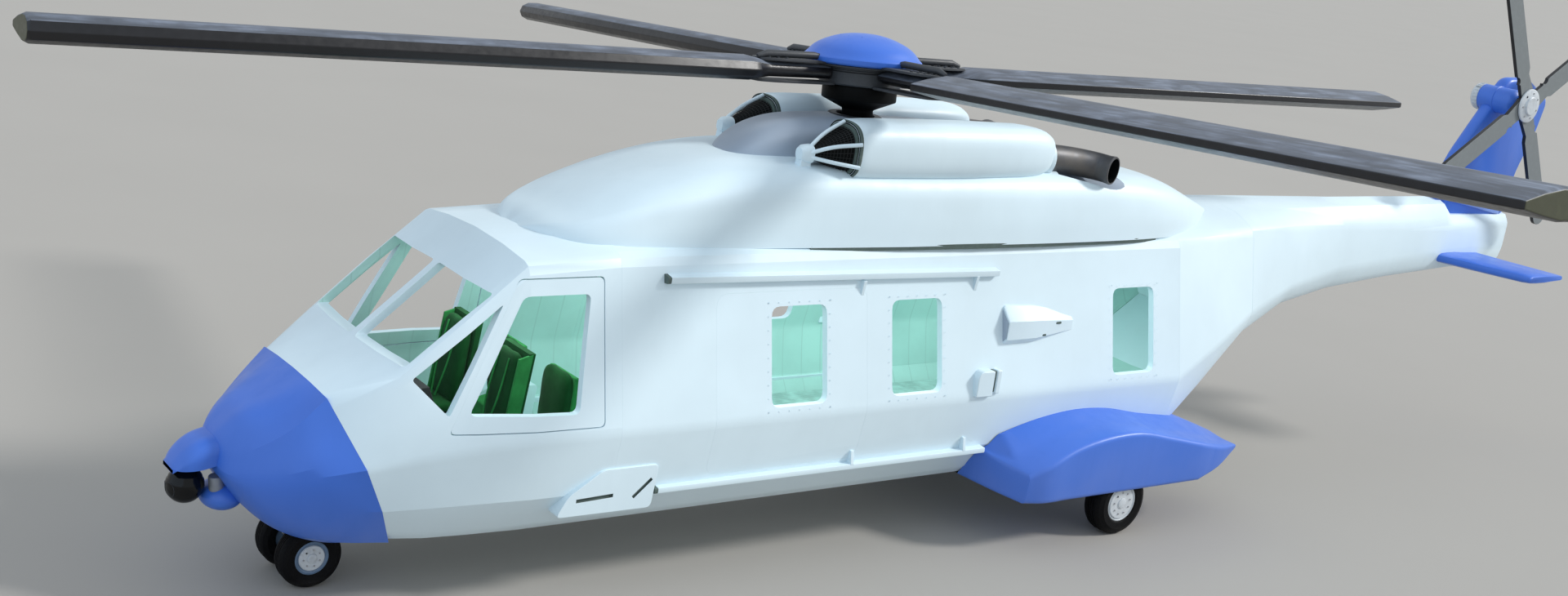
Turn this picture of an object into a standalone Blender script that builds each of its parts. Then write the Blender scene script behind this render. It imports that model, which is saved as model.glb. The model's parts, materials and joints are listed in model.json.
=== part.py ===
"""A medium transport helicopter, parked on its three-point wheeled gear.

Metres, +X to the nose, +Y to port, +Z up, with the ground at z = 0.
Stations are measured along X from the rotor mast, positive towards the nose,
and MAST_X places the mast so that the whole machine is centred on the origin.
"""
import math

import bpy
import bmesh
from mathutils import Matrix, Vector

# Driving dimensions
HULL_HALF_WIDTH = 1.30
CHINE_Z = 1.49
FLOOR_TOP_Z = 0.86
EAVE_Y = 0.97
EAVE_Z = 2.92
WALL = 0.07
GAP = 0.0003

ROTOR_RADIUS = 7.45
ROTOR_Z = 4.43
ROTOR_TURN = math.radians(-4.0)
ROTOR_LEAN = math.radians(3.8)
BLADE_CHORD = 0.62

TAIL_ROTOR_RADIUS = 1.85
TAIL_ROTOR_STATION = -10.78
TAIL_ROTOR_Y = 0.47
TAIL_ROTOR_Z = 4.46
TAIL_ROTOR_TURN = math.radians(-31.0)
TAIL_BLADE_CHORD = 0.27

NOSE_WHEEL_STATION = 5.24
NOSE_WHEEL_RADIUS = 0.264
NOSE_WHEEL_WIDTH = 0.20
NOSE_WHEEL_Y = 0.22
MAIN_WHEEL_STATION = -2.84
MAIN_WHEEL_RADIUS = 0.344
MAIN_WHEEL_WIDTH = 0.25
MAIN_WHEEL_Y = 1.60

# The main rotor's front tip corner and the tail rotor's rounded rear tip end the machine's length
BLADE_LEADING = 0.36 * BLADE_CHORD
FRONT_END = ROTOR_RADIUS * math.cos(ROTOR_TURN) - BLADE_LEADING * math.sin(ROTOR_TURN)
TAIL_TIP_CENTRE = TAIL_ROTOR_RADIUS - TAIL_BLADE_CHORD / 2.0
REAR_END = TAIL_ROTOR_STATION - TAIL_TIP_CENTRE * math.cos(TAIL_ROTOR_TURN) - TAIL_BLADE_CHORD / 2.0
MAST_X = -(FRONT_END + REAR_END) / 2.0


def at(station, y, z):
    """The point at a station along the machine."""
    return Vector((MAST_X + station, y, z))


# Materials
def make_material(name, colour, roughness, metallic=0.0):
    material = bpy.data.materials.new(name)
    material.use_nodes = True
    shader = material.node_tree.nodes["Principled BSDF"]
    shader.inputs["Base Color"].default_value = (*colour, 1.0)
    shader.inputs["Roughness"].default_value = roughness
    shader.inputs["Metallic"].default_value = metallic
    return material


def make_materials():
    return {
        "white": make_material("white_paint", (0.80, 0.83, 0.84), 0.45),
        "blue": make_material("blue_paint", (0.03, 0.10, 0.52), 0.4),
        "grey": make_material("blade_grey", (0.12, 0.13, 0.14), 0.6),
        "black": make_material("black_rubber", (0.02, 0.02, 0.02), 0.8),
        "steel": make_material("steel", (0.35, 0.36, 0.38), 0.35, 0.9),
        "teal": make_material("cabin_lining", (0.16, 0.42, 0.40), 0.8),
        "seat": make_material("seat_green", (0.01, 0.05, 0.01), 0.85),
        "mesh": make_material("screen_mesh", (0.03, 0.03, 0.03), 0.6, 0.5),
    }


# Mesh builders
def finish_mesh(name, mesh_data, material, smooth_angle=35.0):
    """Turn a bmesh into an object with flat outward faces, shaded smooth between its sharp edges."""
    bmesh.ops.remove_doubles(mesh_data, verts=mesh_data.verts, dist=1e-6)
    bmesh.ops.recalc_face_normals(mesh_data, faces=mesh_data.faces)
    bmesh.ops.triangulate(mesh_data, faces=mesh_data.faces)
    mesh = bpy.data.meshes.new(name)
    mesh_data.to_mesh(mesh)
    mesh_data.free()
    mesh.shade_smooth()
    mesh.set_sharp_from_angle(angle=math.radians(smooth_angle))
    mesh.materials.append(material)
    piece = bpy.data.objects.new(name, mesh)
    bpy.context.collection.objects.link(piece)
    return piece


def loft(name, rings, material, smooth_angle=35.0):
    """A closed solid through rings of equal length, with its two ends capped."""
    mesh_data = bmesh.new()
    rows = [[mesh_data.verts.new(point) for point in ring] for ring in rings]
    count = len(rings[0])
    for row, following in zip(rows, rows[1:]):
        for index in range(count):
            after = (index + 1) % count
            mesh_data.faces.new((row[index], row[after], following[after], following[index]))
    for end in (rows[0], rows[-1]):
        mesh_data.faces.new(end)
    return finish_mesh(name, mesh_data, material, smooth_angle)


def thick_panel(name, outer, inner, material, smooth_angle=35.0):
    """A closed panel between an outer and an inner grid of points."""
    mesh_data = bmesh.new()
    outside = [[mesh_data.verts.new(point) for point in row] for row in outer]
    inside = [[mesh_data.verts.new(point) for point in row] for row in inner]
    rows, columns = len(outer), len(outer[0])
    for i in range(rows - 1):
        for j in range(columns - 1):
            for sheet in (outside, inside):
                mesh_data.faces.new((sheet[i][j], sheet[i][j + 1], sheet[i + 1][j + 1], sheet[i + 1][j]))
    for i in range(rows - 1):
        for j in (0, columns - 1):
            mesh_data.faces.new((outside[i][j], outside[i + 1][j], inside[i + 1][j], inside[i][j]))
    for j in range(columns - 1):
        for i in (0, rows - 1):
            mesh_data.faces.new((outside[i][j], outside[i][j + 1], inside[i][j + 1], inside[i][j]))
    return finish_mesh(name, mesh_data, material, smooth_angle)


def tube_panel(name, outer, inner, material):
    """A closed-round shell between outer and inner rings, open at both ends."""
    mesh_data = bmesh.new()
    outside = [[mesh_data.verts.new(point) for point in row] for row in outer]
    inside = [[mesh_data.verts.new(point) for point in row] for row in inner]
    count = len(outer[0])
    for j in range(count):
        k = (j + 1) % count
        for i in range(len(outer) - 1):
            for sheet in (outside, inside):
                mesh_data.faces.new((sheet[i][j], sheet[i][k], sheet[i + 1][k], sheet[i + 1][j]))
        for i in (0, len(outer) - 1):
            mesh_data.faces.new((outside[i][j], outside[i][k], inside[i][k], inside[i][j]))
    return finish_mesh(name, mesh_data, material)


def prism(name, outline, low, high, material, plane="xz", smooth_angle=35.0):
    """An outline of points in one plane, extruded from low to high along the third axis."""
    place = {
        "xz": lambda a, b, c: Vector((a, c, b)),
        "xy": lambda a, b, c: Vector((a, b, c)),
        "yz": lambda a, b, c: Vector((c, a, b)),
    }[plane]
    rings = [[place(a, b, level) for a, b in outline] for level in (low, high)]
    return loft(name, rings, material, smooth_angle)


def block(name, low, high, material):
    """A box between two corners."""
    outline = [(low[0], low[1]), (high[0], low[1]), (high[0], high[1]), (low[0], high[1])]
    return prism(name, outline, low[2], high[2], material, "xy")


def turned(name, profile, centre, axis, material, sides=32, smooth_angle=35.0):
    """A solid of revolution: profile holds (radius, height along the axis), ends on the axis are points."""
    axis = Vector(axis).normalized()
    turn = axis.to_track_quat("Z", "Y").to_matrix()
    mesh_data = bmesh.new()
    rows = []
    for radius, height in profile:
        if radius == 0.0:
            rows.append([mesh_data.verts.new(Vector(centre) + axis * height)])
            continue
        ring = []
        for index in range(sides):
            angle = 2.0 * math.pi * index / sides
            local = Vector((radius * math.cos(angle), radius * math.sin(angle), height))
            ring.append(mesh_data.verts.new(Vector(centre) + turn @ local))
        rows.append(ring)
    for row, following in zip(rows, rows[1:]):
        for index in range(sides):
            after = (index + 1) % sides
            if len(row) == 1:
                mesh_data.faces.new((row[0], following[after], following[index]))
            elif len(following) == 1:
                mesh_data.faces.new((row[index], row[after], following[0]))
            else:
                mesh_data.faces.new((row[index], row[after], following[after], following[index]))
    for end in (rows[0], rows[-1]):
        if len(end) > 1:
            mesh_data.faces.new(end)
    return finish_mesh(name, mesh_data, material, smooth_angle)


def rounded_outline(corners, radius, steps=4):
    """A polygon with its corners replaced by arcs that cut off `radius` of each side."""
    points = []
    count = len(corners)
    for index in range(count):
        corner = Vector(corners[index])
        before = (Vector(corners[index - 1]) - corner).normalized() * radius
        after = (Vector(corners[(index + 1) % count]) - corner).normalized() * radius
        for step in range(steps + 1):
            t = step / steps
            point = (corner + before) * (1 - t) ** 2 + corner * 2 * t * (1 - t) + (corner + after) * t ** 2
            points.append((point.x, point.y))
    return points


def boolean(piece, other, operation):
    """Cut or join with another object, which is only a guide and isn't part of the machine."""
    step = piece.modifiers.new(f"{operation.lower()} {other.name}", "BOOLEAN")
    step.operation = operation
    step.solver = "EXACT"
    step.object = other
    other.hide_render = True
    other.display_type = "WIRE"


def settle(piece):
    """Apply the piece's modifiers, so that its guides can be removed."""
    depsgraph = bpy.context.evaluated_depsgraph_get()
    mesh = bpy.data.meshes.new_from_object(piece.evaluated_get(depsgraph))
    piece.modifiers.clear()
    old = piece.data
    piece.data = mesh
    bpy.data.meshes.remove(old)


def cut_and_settle(piece, guides, operation="DIFFERENCE"):
    for guide in guides:
        boolean(piece, guide, operation)
    settle(piece)


def copy_of(piece, name):
    twin = bpy.data.objects.new(name, piece.data.copy())
    bpy.context.collection.objects.link(twin)
    return twin


def drop(pieces):
    for piece in pieces:
        bpy.data.objects.remove(piece)


def nose_joint_station(z):
    """The nose joins the cockpit on a plane that leans forwards as it rises."""
    return 4.85 + 0.465 * (z - 0.62)


# Hull lines
# Each frame gives the half section from keel to roof as (station, y, z):
# keel, belly edge, sill, chine, eave, crown, ridge
FRAMES = {
    "nose joint": tuple((nose_joint_station(z), y, z) for y, z in (
        (0, 0.50), (0.80, 0.55), (0.98, 0.90), (1.02, 1.28), (0.68, 1.77), (0.35, 1.80), (0, 1.81))),
    "screen foot": ((4.55, 0, 0.50), (4.56, 0.88, 0.55), (4.66, 1.06, 0.92), (4.78, 1.13, 1.36),
                    (4.93, 0.96, 2.01), (4.94, 0.48, 2.04), (4.94, 0, 2.05)),
    "screen middle": ((4.20, 0, 0.50), (4.20, 0.92, 0.55), (4.24, 1.14, 0.94), (4.30, 1.22, 1.43),
                      (4.42, 0.99, 2.45), (4.43, 0.49, 2.48), (4.43, 0, 2.49)),
    "roof front": ((3.75, 0, 0.50), (3.75, 0.95, 0.55), (3.78, 1.20, 0.95), (3.82, 1.28, 1.48),
                   (3.91, 0.98, 2.88), (3.91, 0.50, 2.93), (3.91, 0, 2.95)),
    "cabin front": ((3.05, 0, 0.50), (3.05, 0.95, 0.55), (3.05, 1.21, 0.95), (3.05, HULL_HALF_WIDTH, CHINE_Z),
                    (3.05, EAVE_Y, EAVE_Z), (3.05, 0.52, 3.03), (3.05, 0, 3.07)),
    "cabin rear": ((-3.90, 0, 0.50), (-3.90, 0.95, 0.55), (-3.90, 1.18, 0.95), (-3.90, 1.29, 1.47),
                   (-3.90, 0.95, 2.92), (-3.90, 0.55, 3.06), (-3.90, 0, 3.10)),
    "ramp middle": ((-4.60, 0, 1.12), (-4.60, 0.93, 1.15), (-4.60, 1.06, 1.42), (-4.60, 1.16, 1.75),
                    (-4.60, 0.85, 2.93), (-4.60, 0.50, 3.08), (-4.60, 0, 3.145)),
    "ramp head": ((-5.40, 0, 1.72), (-5.40, 0.80, 1.74), (-5.40, 0.87, 1.86), (-5.40, 0.92, 2.02),
                  (-5.40, 0.72, 2.94), (-5.40, 0.42, 3.08), (-5.40, 0, 3.145)),
    "boom root": ((-6.40, 0, 1.96), (-6.40, 0.52, 1.97), (-6.40, 0.60, 2.08), (-6.40, 0.66, 2.22),
                  (-6.40, 0.56, 2.94), (-6.40, 0.33, 3.09), (-6.40, 0, 3.145)),
    "boom front": ((-7.50, 0, 2.06), (-7.50, 0.34, 2.07), (-7.50, 0.41, 2.19), (-7.50, 0.46, 2.34),
                   (-7.50, 0.42, 2.90), (-7.50, 0.26, 3.09), (-7.50, 0, 3.145)),
    "boom middle": ((-8.80, 0, 2.14), (-8.80, 0.25, 2.15), (-8.80, 0.31, 2.25), (-8.80, 0.35, 2.40),
                    (-8.80, 0.33, 2.86), (-8.80, 0.20, 3.08), (-8.80, 0, 3.145)),
    "spine end": ((-9.95, 0, 2.19), (-9.95, 0.20, 2.20), (-9.95, 0.25, 2.30), (-9.95, 0.28, 2.45),
                  (-9.95, 0.26, 2.82), (-9.95, 0.15, 3.07), (-9.95, 0, 3.14)),
    "fin foot": ((-10.15, 0, 2.20), (-10.15, 0.19, 2.21), (-10.15, 0.24, 2.31), (-10.15, 0.27, 2.45),
                 (-10.15, 0.25, 2.80), (-10.15, 0.14, 2.92), (-10.15, 0, 2.94)),
    "boom end": ((-11.60, 0, 2.24), (-11.60, 0.12, 2.25), (-11.61, 0.15, 2.33), (-11.63, 0.17, 2.46),
                 (-11.67, 0.16, 2.80), (-11.69, 0.09, 2.90), (-11.69, 0, 2.92)),
}
# Corner rounding of the belly edge, chine and eave, and how far each spreads
CORNER_SPREAD = {1: 0.14, 3: 0.05, 4: 0.09}
SILL_INDEX = 4
EAVE_INDEX = 10
RIDGE_INDEX = 12


def half_section(frame):
    """Thirteen points from keel to ridge: the corners are rounded and the others kept."""
    keys = [at(*point) for point in frame]
    points = []
    for index, corner in enumerate(keys):
        spread = CORNER_SPREAD.get(index)
        if spread is None:
            points.append(corner)
            continue
        before = keys[index - 1] - corner
        after = keys[index + 1] - corner
        spread = min(spread, 0.35 * before.length, 0.35 * after.length)
        start = corner + before.normalized() * spread
        end = corner + after.normalized() * spread
        points += [start, start * 0.25 + corner * 0.5 + end * 0.25, end]
    return points


def mirrored(point):
    return Vector((point.x, -point.y, point.z))


HULL_ROWS = ("nose joint", "screen foot", "screen middle", "roof front", "cabin front", "cabin rear",
             "ramp middle", "ramp head")
UPRIGHT_ROWS = ("cabin front", "cabin rear", "ramp middle", "ramp head")


def outward_normals(grid):
    """Outward normals of a half grid that runs from keel to ridge on the port side."""
    rows, columns = len(grid), len(grid[0])
    normals = []
    for i in range(rows):
        line = []
        for j in range(columns):
            along = grid[min(i + 1, rows - 1)][j] - grid[max(i - 1, 0)][j]
            around = grid[i][min(j + 1, columns - 1)] - grid[i][max(j - 1, 0)]
            if j in (0, columns - 1):
                around = Vector((0.0, 1.0 if j == 0 else -1.0, 0.0))
            normal = along.cross(around).normalized()
            middle = Vector((grid[i][j].x, 0.0, 1.8))
            if normal.dot(grid[i][j] - middle) < 0.0:
                normal.negate()
            line.append(normal)
        normals.append(line)
    return normals


def hull_skin(thickness):
    """Outer and inner points of the whole hull wall, one row for each frame."""
    outer = [half_section(FRAMES[name]) for name in HULL_ROWS]
    normals = outward_normals(outer)
    inner = [[point - normal * thickness for point, normal in zip(row, line)]
             for row, line in zip(outer, normals)]
    for name, row, inner_row in zip(HULL_ROWS, outer, inner):
        for point, inner_point in zip(row, inner_row):
            if name in UPRIGHT_ROWS:
                inner_point.x = point.x
            elif name == "nose joint":
                inner_point.x = MAST_X + nose_joint_station(inner_point.z)
    return outer, inner


def section_row(half, first, last, both_sides):
    """Section points from first to last, carried on over the starboard side when both are wanted."""
    if not both_sides:
        return [half[index].copy() for index in range(first, last + 1)]
    if first == 0:
        port = [half[index].copy() for index in range(last, 0, -1)]
        return port + [half[0].copy()] + [mirrored(point) for point in reversed(port)]
    port = [half[index].copy() for index in range(first, last)]
    return port + [half[last].copy()] + [mirrored(point) for point in reversed(port)]


def draw_in_edges(outer, inner, clearances):
    """Pull a panel's edges in by its clearances: front row, rear row, first column, last column."""
    rows, columns = len(outer), len(outer[0])
    front, rear, first, last = clearances
    moves = []
    for j in range(columns):
        for i, other, distance in ((0, 1, front), (rows - 1, rows - 2, rear)):
            moves.append((i, j, (outer[other][j] - outer[i][j]).normalized() * distance))
    for i in range(rows):
        for j, other, distance in ((0, 1, first), (columns - 1, columns - 2, last)):
            moves.append((i, j, (outer[i][other] - outer[i][j]).normalized() * distance))
    for i, j, move in moves:
        outer[i][j] += move
        inner[i][j] += move


def hull_panel(name, rows, first, last, both_sides, material, clearances=(GAP / 2.0,) * 4, thickness=WALL):
    """A panel of the hull wall between two rows and two section points."""
    start, end = HULL_ROWS.index(rows[0]), HULL_ROWS.index(rows[1])
    skins = [[section_row(row, first, last, both_sides) for row in skin[start:end + 1]]
             for skin in hull_skin(thickness)]
    draw_in_edges(*skins, clearances)
    return thick_panel(name, *skins, material)


# Outlines of doors and windows, as (station, z)
def side_outline(points, radius):
    return rounded_outline([(MAST_X + station, z) for station, z in points], radius)


WINDOW_LOW_Z = 1.578
WINDOW_HIGH_Z = 2.45
WINDOW_WIDTH = 0.62
WINDOW_FRONTS = (1.51, 0.12, -2.86)
SLIDING_DOOR = ((2.10, 0.99), (2.10, 2.58), (0.42, 2.58), (0.42, 0.99))
COCKPIT_DOOR = ((4.55, 1.56), (3.99, 2.76), (3.22, 2.76), (3.22, 1.56))
COCKPIT_WINDOW = ((4.40, 1.70), (4.25, 2.00), (3.95, 2.63), (3.34, 2.63), (3.45, 1.67))
CORNER_WINDOW = ((4.84, 1.98), (4.12, 2.57), (4.55, 1.69))


DOOR_CLEARANCE = 0.009
# The cockpit door's hinge line, just outside its front edge: its lower and upper ends
COCKPIT_HINGE = ((4.555, 1.156, 1.56), (3.995, 1.008, 2.76))
# Steps in the door's inner edges, which clear the opening as the door swings, as low and high corners
# in station, y, z: over the sill beside the hinge, along the top, and down from the top rear corner
DOOR_RELIEFS = (
    ((4.36, 0.90, 1.50), (4.62, 1.118, 1.587)),
    ((3.15, 0.80, 2.746), (3.98, 0.972, 2.80)),
    ((3.15, 0.80, 2.40), (3.234, 0.972, 2.80)),
)


def window_corners(front):
    rear = front - WINDOW_WIDTH
    return ((front, WINDOW_LOW_Z), (front, WINDOW_HIGH_Z), (rear, WINDOW_HIGH_Z), (rear, WINDOW_LOW_Z))


def offset_outline(corners, distances):
    """Move each side of an outline outwards by its own distance; side i starts at corner i."""
    count = len(corners)
    points = [Vector(corner) for corner in corners]
    middle = sum(points, Vector((0.0, 0.0))) / count
    lines = []
    for index in range(count):
        start = points[index]
        along = (points[(index + 1) % count] - start).normalized()
        normal = Vector((along.y, -along.x))
        if normal.dot(start - middle) < 0.0:
            normal.negate()
        lines.append((start + normal * distances[index], along))
    moved = []
    for index in range(count):
        (p, u), (q, v) = lines[index - 1], lines[index]
        cross = u.x * v.y - u.y * v.x
        reach = ((q - p).x * v.y - (q - p).y * v.x) / cross
        moved.append(tuple(p + u * reach))
    return moved


def side_guide(name, corners, radius, side, material):
    """A cutter through one side of the hull."""
    low, high = sorted((side * 0.45, side * 1.8))
    return prism(name, side_outline(corners, radius), low, high, material)


def make_cockpit_shell(paint):
    """Cockpit frame and its two hinged doors, cut from one skin."""
    white = paint["white"]
    shell = hull_panel("cockpit_frame", ("nose joint", "cabin front"), SILL_INDEX, RIDGE_INDEX, True, white)
    opening = offset_outline(COCKPIT_DOOR, (GAP, DOOR_CLEARANCE, DOOR_CLEARANCE, DOOR_CLEARANCE))
    guides = []
    for side, word in ((1, "left"), (-1, "right")):
        pane = [(side * y, z) for y, z in ((0.045, 2.06), (0.90, 2.06), (0.94, 2.64), (0.045, 2.66))]
        guides.append(prism(f"pane {side}", rounded_outline(pane, 0.03), at(3.95, 0, 0).x,
                            at(5.6, 0, 0).x, white, "yz"))
        guides.append(side_guide(f"corner window {side}", CORNER_WINDOW, 0.03, side, white))
        guides.append(side_guide(f"door opening {side}", opening, 0.05, side, white))
        door = copy_of(shell, f"cockpit_door_{word}")
        shape = side_guide(f"door shape {side}", COCKPIT_DOOR, 0.05, side, white)
        window = side_guide(f"door window {side}", COCKPIT_WINDOW, 0.06, side, white)
        reliefs = []
        for low, high in DOOR_RELIEFS:
            near, far = sorted((side * low[1], side * high[1]))
            reliefs.append(block(f"door relief {len(reliefs)} {side}", at(low[0], near, low[2]),
                                 at(high[0], far, high[2]), white))
        cut_and_settle(door, [shape], "INTERSECT")
        cut_and_settle(door, [window] + reliefs)
        drop([shape, window] + reliefs)
        set_origin(door, at(COCKPIT_HINGE[0][0], side * COCKPIT_HINGE[0][1], COCKPIT_HINGE[0][2]))
    cut_and_settle(shell, guides)
    drop(guides)


def make_cabin_sides(paint):
    """Side walls with open windows, and the sliding doors that close flush in them."""
    white = paint["white"]
    opening = offset_outline(SLIDING_DOOR, (GAP,) * 4)
    for side, word in ((1, "left"), (-1, "right")):
        wall = hull_panel(f"cabin_side_{word}", ("cabin front", "cabin rear"), SILL_INDEX, EAVE_INDEX,
                          False, white)
        if side < 0:
            wall.data.transform(Matrix.Scale(-1.0, 4, (0, 1, 0)))
            wall.data.flip_normals()
        door = copy_of(wall, f"sliding_door_{word}")
        shape = side_guide(f"sliding shape {side}", SLIDING_DOOR, 0.12, side, white)
        hole = side_guide(f"sliding opening {side}", opening, 0.12, side, white)
        panes = [side_guide(f"window {side} {front}", window_corners(front), 0.09, side, white)
                 for front in WINDOW_FRONTS]
        cut_and_settle(door, [shape], "INTERSECT")
        cut_and_settle(door, [panes[0]])
        cut_and_settle(wall, [hole] + panes[1:])
        drop([shape, hole] + panes)


def make_hull(paint):
    """Shell panels from the nose joint to the ramp head, each as thick as the whole wall."""
    white = paint["white"]
    make_cockpit_shell(paint)
    make_cabin_sides(paint)
    hull_panel("cabin_roof", ("cabin front", "cabin rear"), EAVE_INDEX, RIDGE_INDEX, True, white)
    hull_panel("lower_hull", ("nose joint", "cabin rear"), 0, SILL_INDEX, True, white)
    hull_panel("aft_hull", ("cabin rear", "ramp head"), 1, RIDGE_INDEX, True, white)
    ramp = hull_panel("rear_ramp", ("cabin rear", "ramp head"), 0, 1, True, white,
                      (GAP / 2.0, 1.5 * DOOR_CLEARANCE, DOOR_CLEARANCE, DOOR_CLEARANCE))
    set_origin(ramp, at(*FRAMES["cabin rear"][0]))


def set_origin(piece, point):
    """Put a piece's origin at a point without moving its shape."""
    piece.data.transform(Matrix.Translation(-Vector(point)))
    piece.location = point


def full_ring(half):
    return [point.copy() for point in half] + [mirrored(point) for point in reversed(half[1:-1])]


def grown_ring(ring, distance):
    """A ring pushed outwards in its own plane by a small distance."""
    middle = sum(ring, Vector()) / len(ring)
    return [point + (point - middle).normalized() * distance for point in ring]


NOSE_FRAMES = (
    ((5.20, 0, 0.53), (5.24, 0.70, 0.57), (5.36, 0.86, 0.90), (5.48, 0.88, 1.22),
     (5.66, 0.56, 1.60), (5.68, 0.28, 1.63), (5.68, 0, 1.64)),
    ((5.60, 0, 0.60), (5.64, 0.48, 0.65), (5.76, 0.62, 0.90), (5.84, 0.62, 1.14),
     (5.92, 0.38, 1.43), (5.94, 0.19, 1.46), (5.94, 0, 1.47)),
    ((5.84, 0, 0.78), (5.86, 0.24, 0.81), (5.95, 0.34, 0.96), (6.01, 0.33, 1.10),
     (6.04, 0.20, 1.28), (6.05, 0.10, 1.31), (6.05, 0, 1.32)),
)
NOSE_WELL_RADIUS = 0.37
NOSE_WELL_TOP = 0.60


def make_nose(paint):
    joint = [point + Vector((GAP, 0, 0)) for point in full_ring(half_section(FRAMES["nose joint"]))]
    rings = [joint] + [full_ring(half_section(frame)) for frame in NOSE_FRAMES]
    nose = loft("nose_cone", rings, paint["blue"])
    well = turned("nose well", ((NOSE_WELL_RADIUS, 0.0), (NOSE_WELL_RADIUS, NOSE_WELL_TOP)),
                  at(NOSE_WHEEL_STATION, 0, 0), (0, 0, 1), paint["blue"])
    cut_and_settle(nose, [well])
    drop([well])


def make_hull_guide(paint):
    """The whole hull's outer form, a gap larger, used to seat pieces on the skin."""
    names = ["nose joint", "screen foot", "screen middle", "roof front", "cabin front", "cabin rear",
             "ramp middle", "ramp head", "boom root", "boom front", "boom middle", "spine end",
             "fin foot", "boom end"]
    rings = [grown_ring(full_ring(half_section(FRAMES[name])), 1.2 * GAP) for name in names]
    return loft("hull form", rings, paint["white"])


def make_tail_boom(paint):
    names = ("ramp head", "boom root", "boom front", "boom middle", "spine end", "fin foot", "boom end")
    rings = [full_ring(half_section(FRAMES[name])) for name in names]
    rings[0] = [point - Vector((GAP, 0, 0)) for point in rings[0]]
    loft("tail_boom", rings, paint["white"])


FLOOR_FRONT = 4.45
FLOOR_SPLIT = 3.05
FLOOR_REAR = -3.86
FLOOR_HALF_WIDTH = 0.90
FLOOR_THICKNESS = 0.08
BEAM_Y = 0.50
BEAM_HALF = 0.06


def make_floors(paint):
    """The cabin floor, and the cockpit floor ahead of it that carries the seats and the panel."""
    make_floor("cabin_floor", FLOOR_REAR, FLOOR_SPLIT - GAP, paint)
    make_floor("cockpit_floor", FLOOR_SPLIT, FLOOR_FRONT, paint)


def make_floor(name, rear, front, paint):
    """A floor on two beams that stand on the belly skin, as one solid."""
    top = FLOOR_TOP_Z
    under = top - FLOOR_THICKNESS
    foot = FRAMES["cabin front"][1][2]
    outline = [(FLOOR_HALF_WIDTH, under), (FLOOR_HALF_WIDTH, top), (-FLOOR_HALF_WIDTH, top),
               (-FLOOR_HALF_WIDTH, under)]
    for middle in (-BEAM_Y, BEAM_Y):
        outline += [(middle - BEAM_HALF, under), (middle - BEAM_HALF, foot),
                    (middle + BEAM_HALF, foot), (middle + BEAM_HALF, under)]
    floor = prism(name, outline, at(rear, 0, 0).x, at(front, 0, 0).x, paint["teal"], "yz")
    belly = hull_panel("belly form", ("nose joint", "cabin rear"), 0, SILL_INDEX, True, paint["teal"],
                       thickness=WALL + GAP)
    cut_and_settle(floor, [belly])
    drop([belly])


SEAT_STATION = 3.72
SEAT_Y = 0.48
SEAT_HALF_WIDTH = 0.24
PANEL_HALF_WIDTH = 0.62
PEDESTAL_HALF_WIDTH = 0.14


def make_cockpit(paint):
    for side, word in ((1, "left"), (-1, "right")):
        outline = [(0.02, 0.0), (0.30, 0.0), (0.26, 0.28), (0.50, 0.30), (0.50, 0.44), (0.13, 0.44),
                   (0.0, 1.20), (-0.12, 1.18), (-0.02, 0.28)]
        points = [(at(SEAT_STATION, 0, 0).x + a, FLOOR_TOP_Z + GAP + b) for a, b in outline]
        prism(f"pilot_seat_{word}", points, side * SEAT_Y - SEAT_HALF_WIDTH,
              side * SEAT_Y + SEAT_HALF_WIDTH, paint["seat"])
    dash = [(4.67, 0.50), (4.72, 0.90), (4.50, 0.92), (4.42, 0.72), (4.30, 0.50)]
    foot = [(4.34, 0.0), (4.44, 0.0), (4.67, 0.52), (4.40, 0.60), (4.31, 0.52)]
    forms = [[(MAST_X + a, FLOOR_TOP_Z + GAP + b) for a, b in outline] for outline in (dash, foot)]
    panel = prism("instrument_panel", forms[0], -PANEL_HALF_WIDTH, PANEL_HALF_WIDTH, paint["black"])
    pedestal = prism("pedestal", forms[1], -PEDESTAL_HALF_WIDTH, PEDESTAL_HALF_WIDTH, paint["black"])
    cut_and_settle(panel, [pedestal], "UNION")
    drop([pedestal])


def cowling_half(station, shoulder_y, shoulder_z, top_z):
    """Half section of the upper cowling above the roof: side, shoulder and top."""
    return [at(station, shoulder_y, shoulder_z), at(station, shoulder_y - 0.06, shoulder_z + 0.02),
            at(station, 0.42, top_z - 0.005), at(station, 0.0, top_z)]


COWLING = (
    (3.40, 0.80, 3.10, 3.12), (2.40, 0.80, 3.26, 3.30), (1.20, 0.78, 3.45, 3.49), (-0.15, 0.76, 3.58, 3.61),
    (-2.70, 0.75, 3.58, 3.61), (-3.30, 0.70, 3.54, 3.58), (-3.85, 0.62, 3.46, 3.50),
)
COWLING_TAIL = ((-4.40, 0.50, 3.30, 3.34), (-4.85, 0.40, 3.16, 3.19))


def make_upper_cowling(paint, hull):
    """The long cowling over the roof that carries the engines, hollow and open to the roof."""
    outer, inner = [], []
    for station, shoulder_y, shoulder_z, top_z in COWLING + COWLING_TAIL:
        foot_y = 0.93 if station > -3.9 else 0.93 + (station + 3.9) * 0.28
        half = [at(station, foot_y, 2.80)] + cowling_half(station, shoulder_y, shoulder_z, top_z)
        outer.append(half + [mirrored(point) for point in reversed(half[:-1])])
    cowling = loft("upper_cowling", outer, paint["white"])
    for station, shoulder_y, shoulder_z, top_z in COWLING[1:-1]:
        half = [at(station, 0.86, 2.70), at(station, shoulder_y - 0.08, shoulder_z - 0.06),
                at(station, 0.40, top_z - 0.06), at(station, 0.0, top_z - 0.06)]
        inner.append(half + [mirrored(point) for point in reversed(half[:-1])])
    hollow = loft("cowling hollow", inner, paint["white"])
    deck = turned("mast hole", ((0.27, 3.2), (0.27, 4.6)), at(0, 0, 0), (0, 0, 1), paint["white"])
    cut_and_settle(cowling, [hull, hollow, deck])
    drop([hollow, deck])
    return cowling


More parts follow.
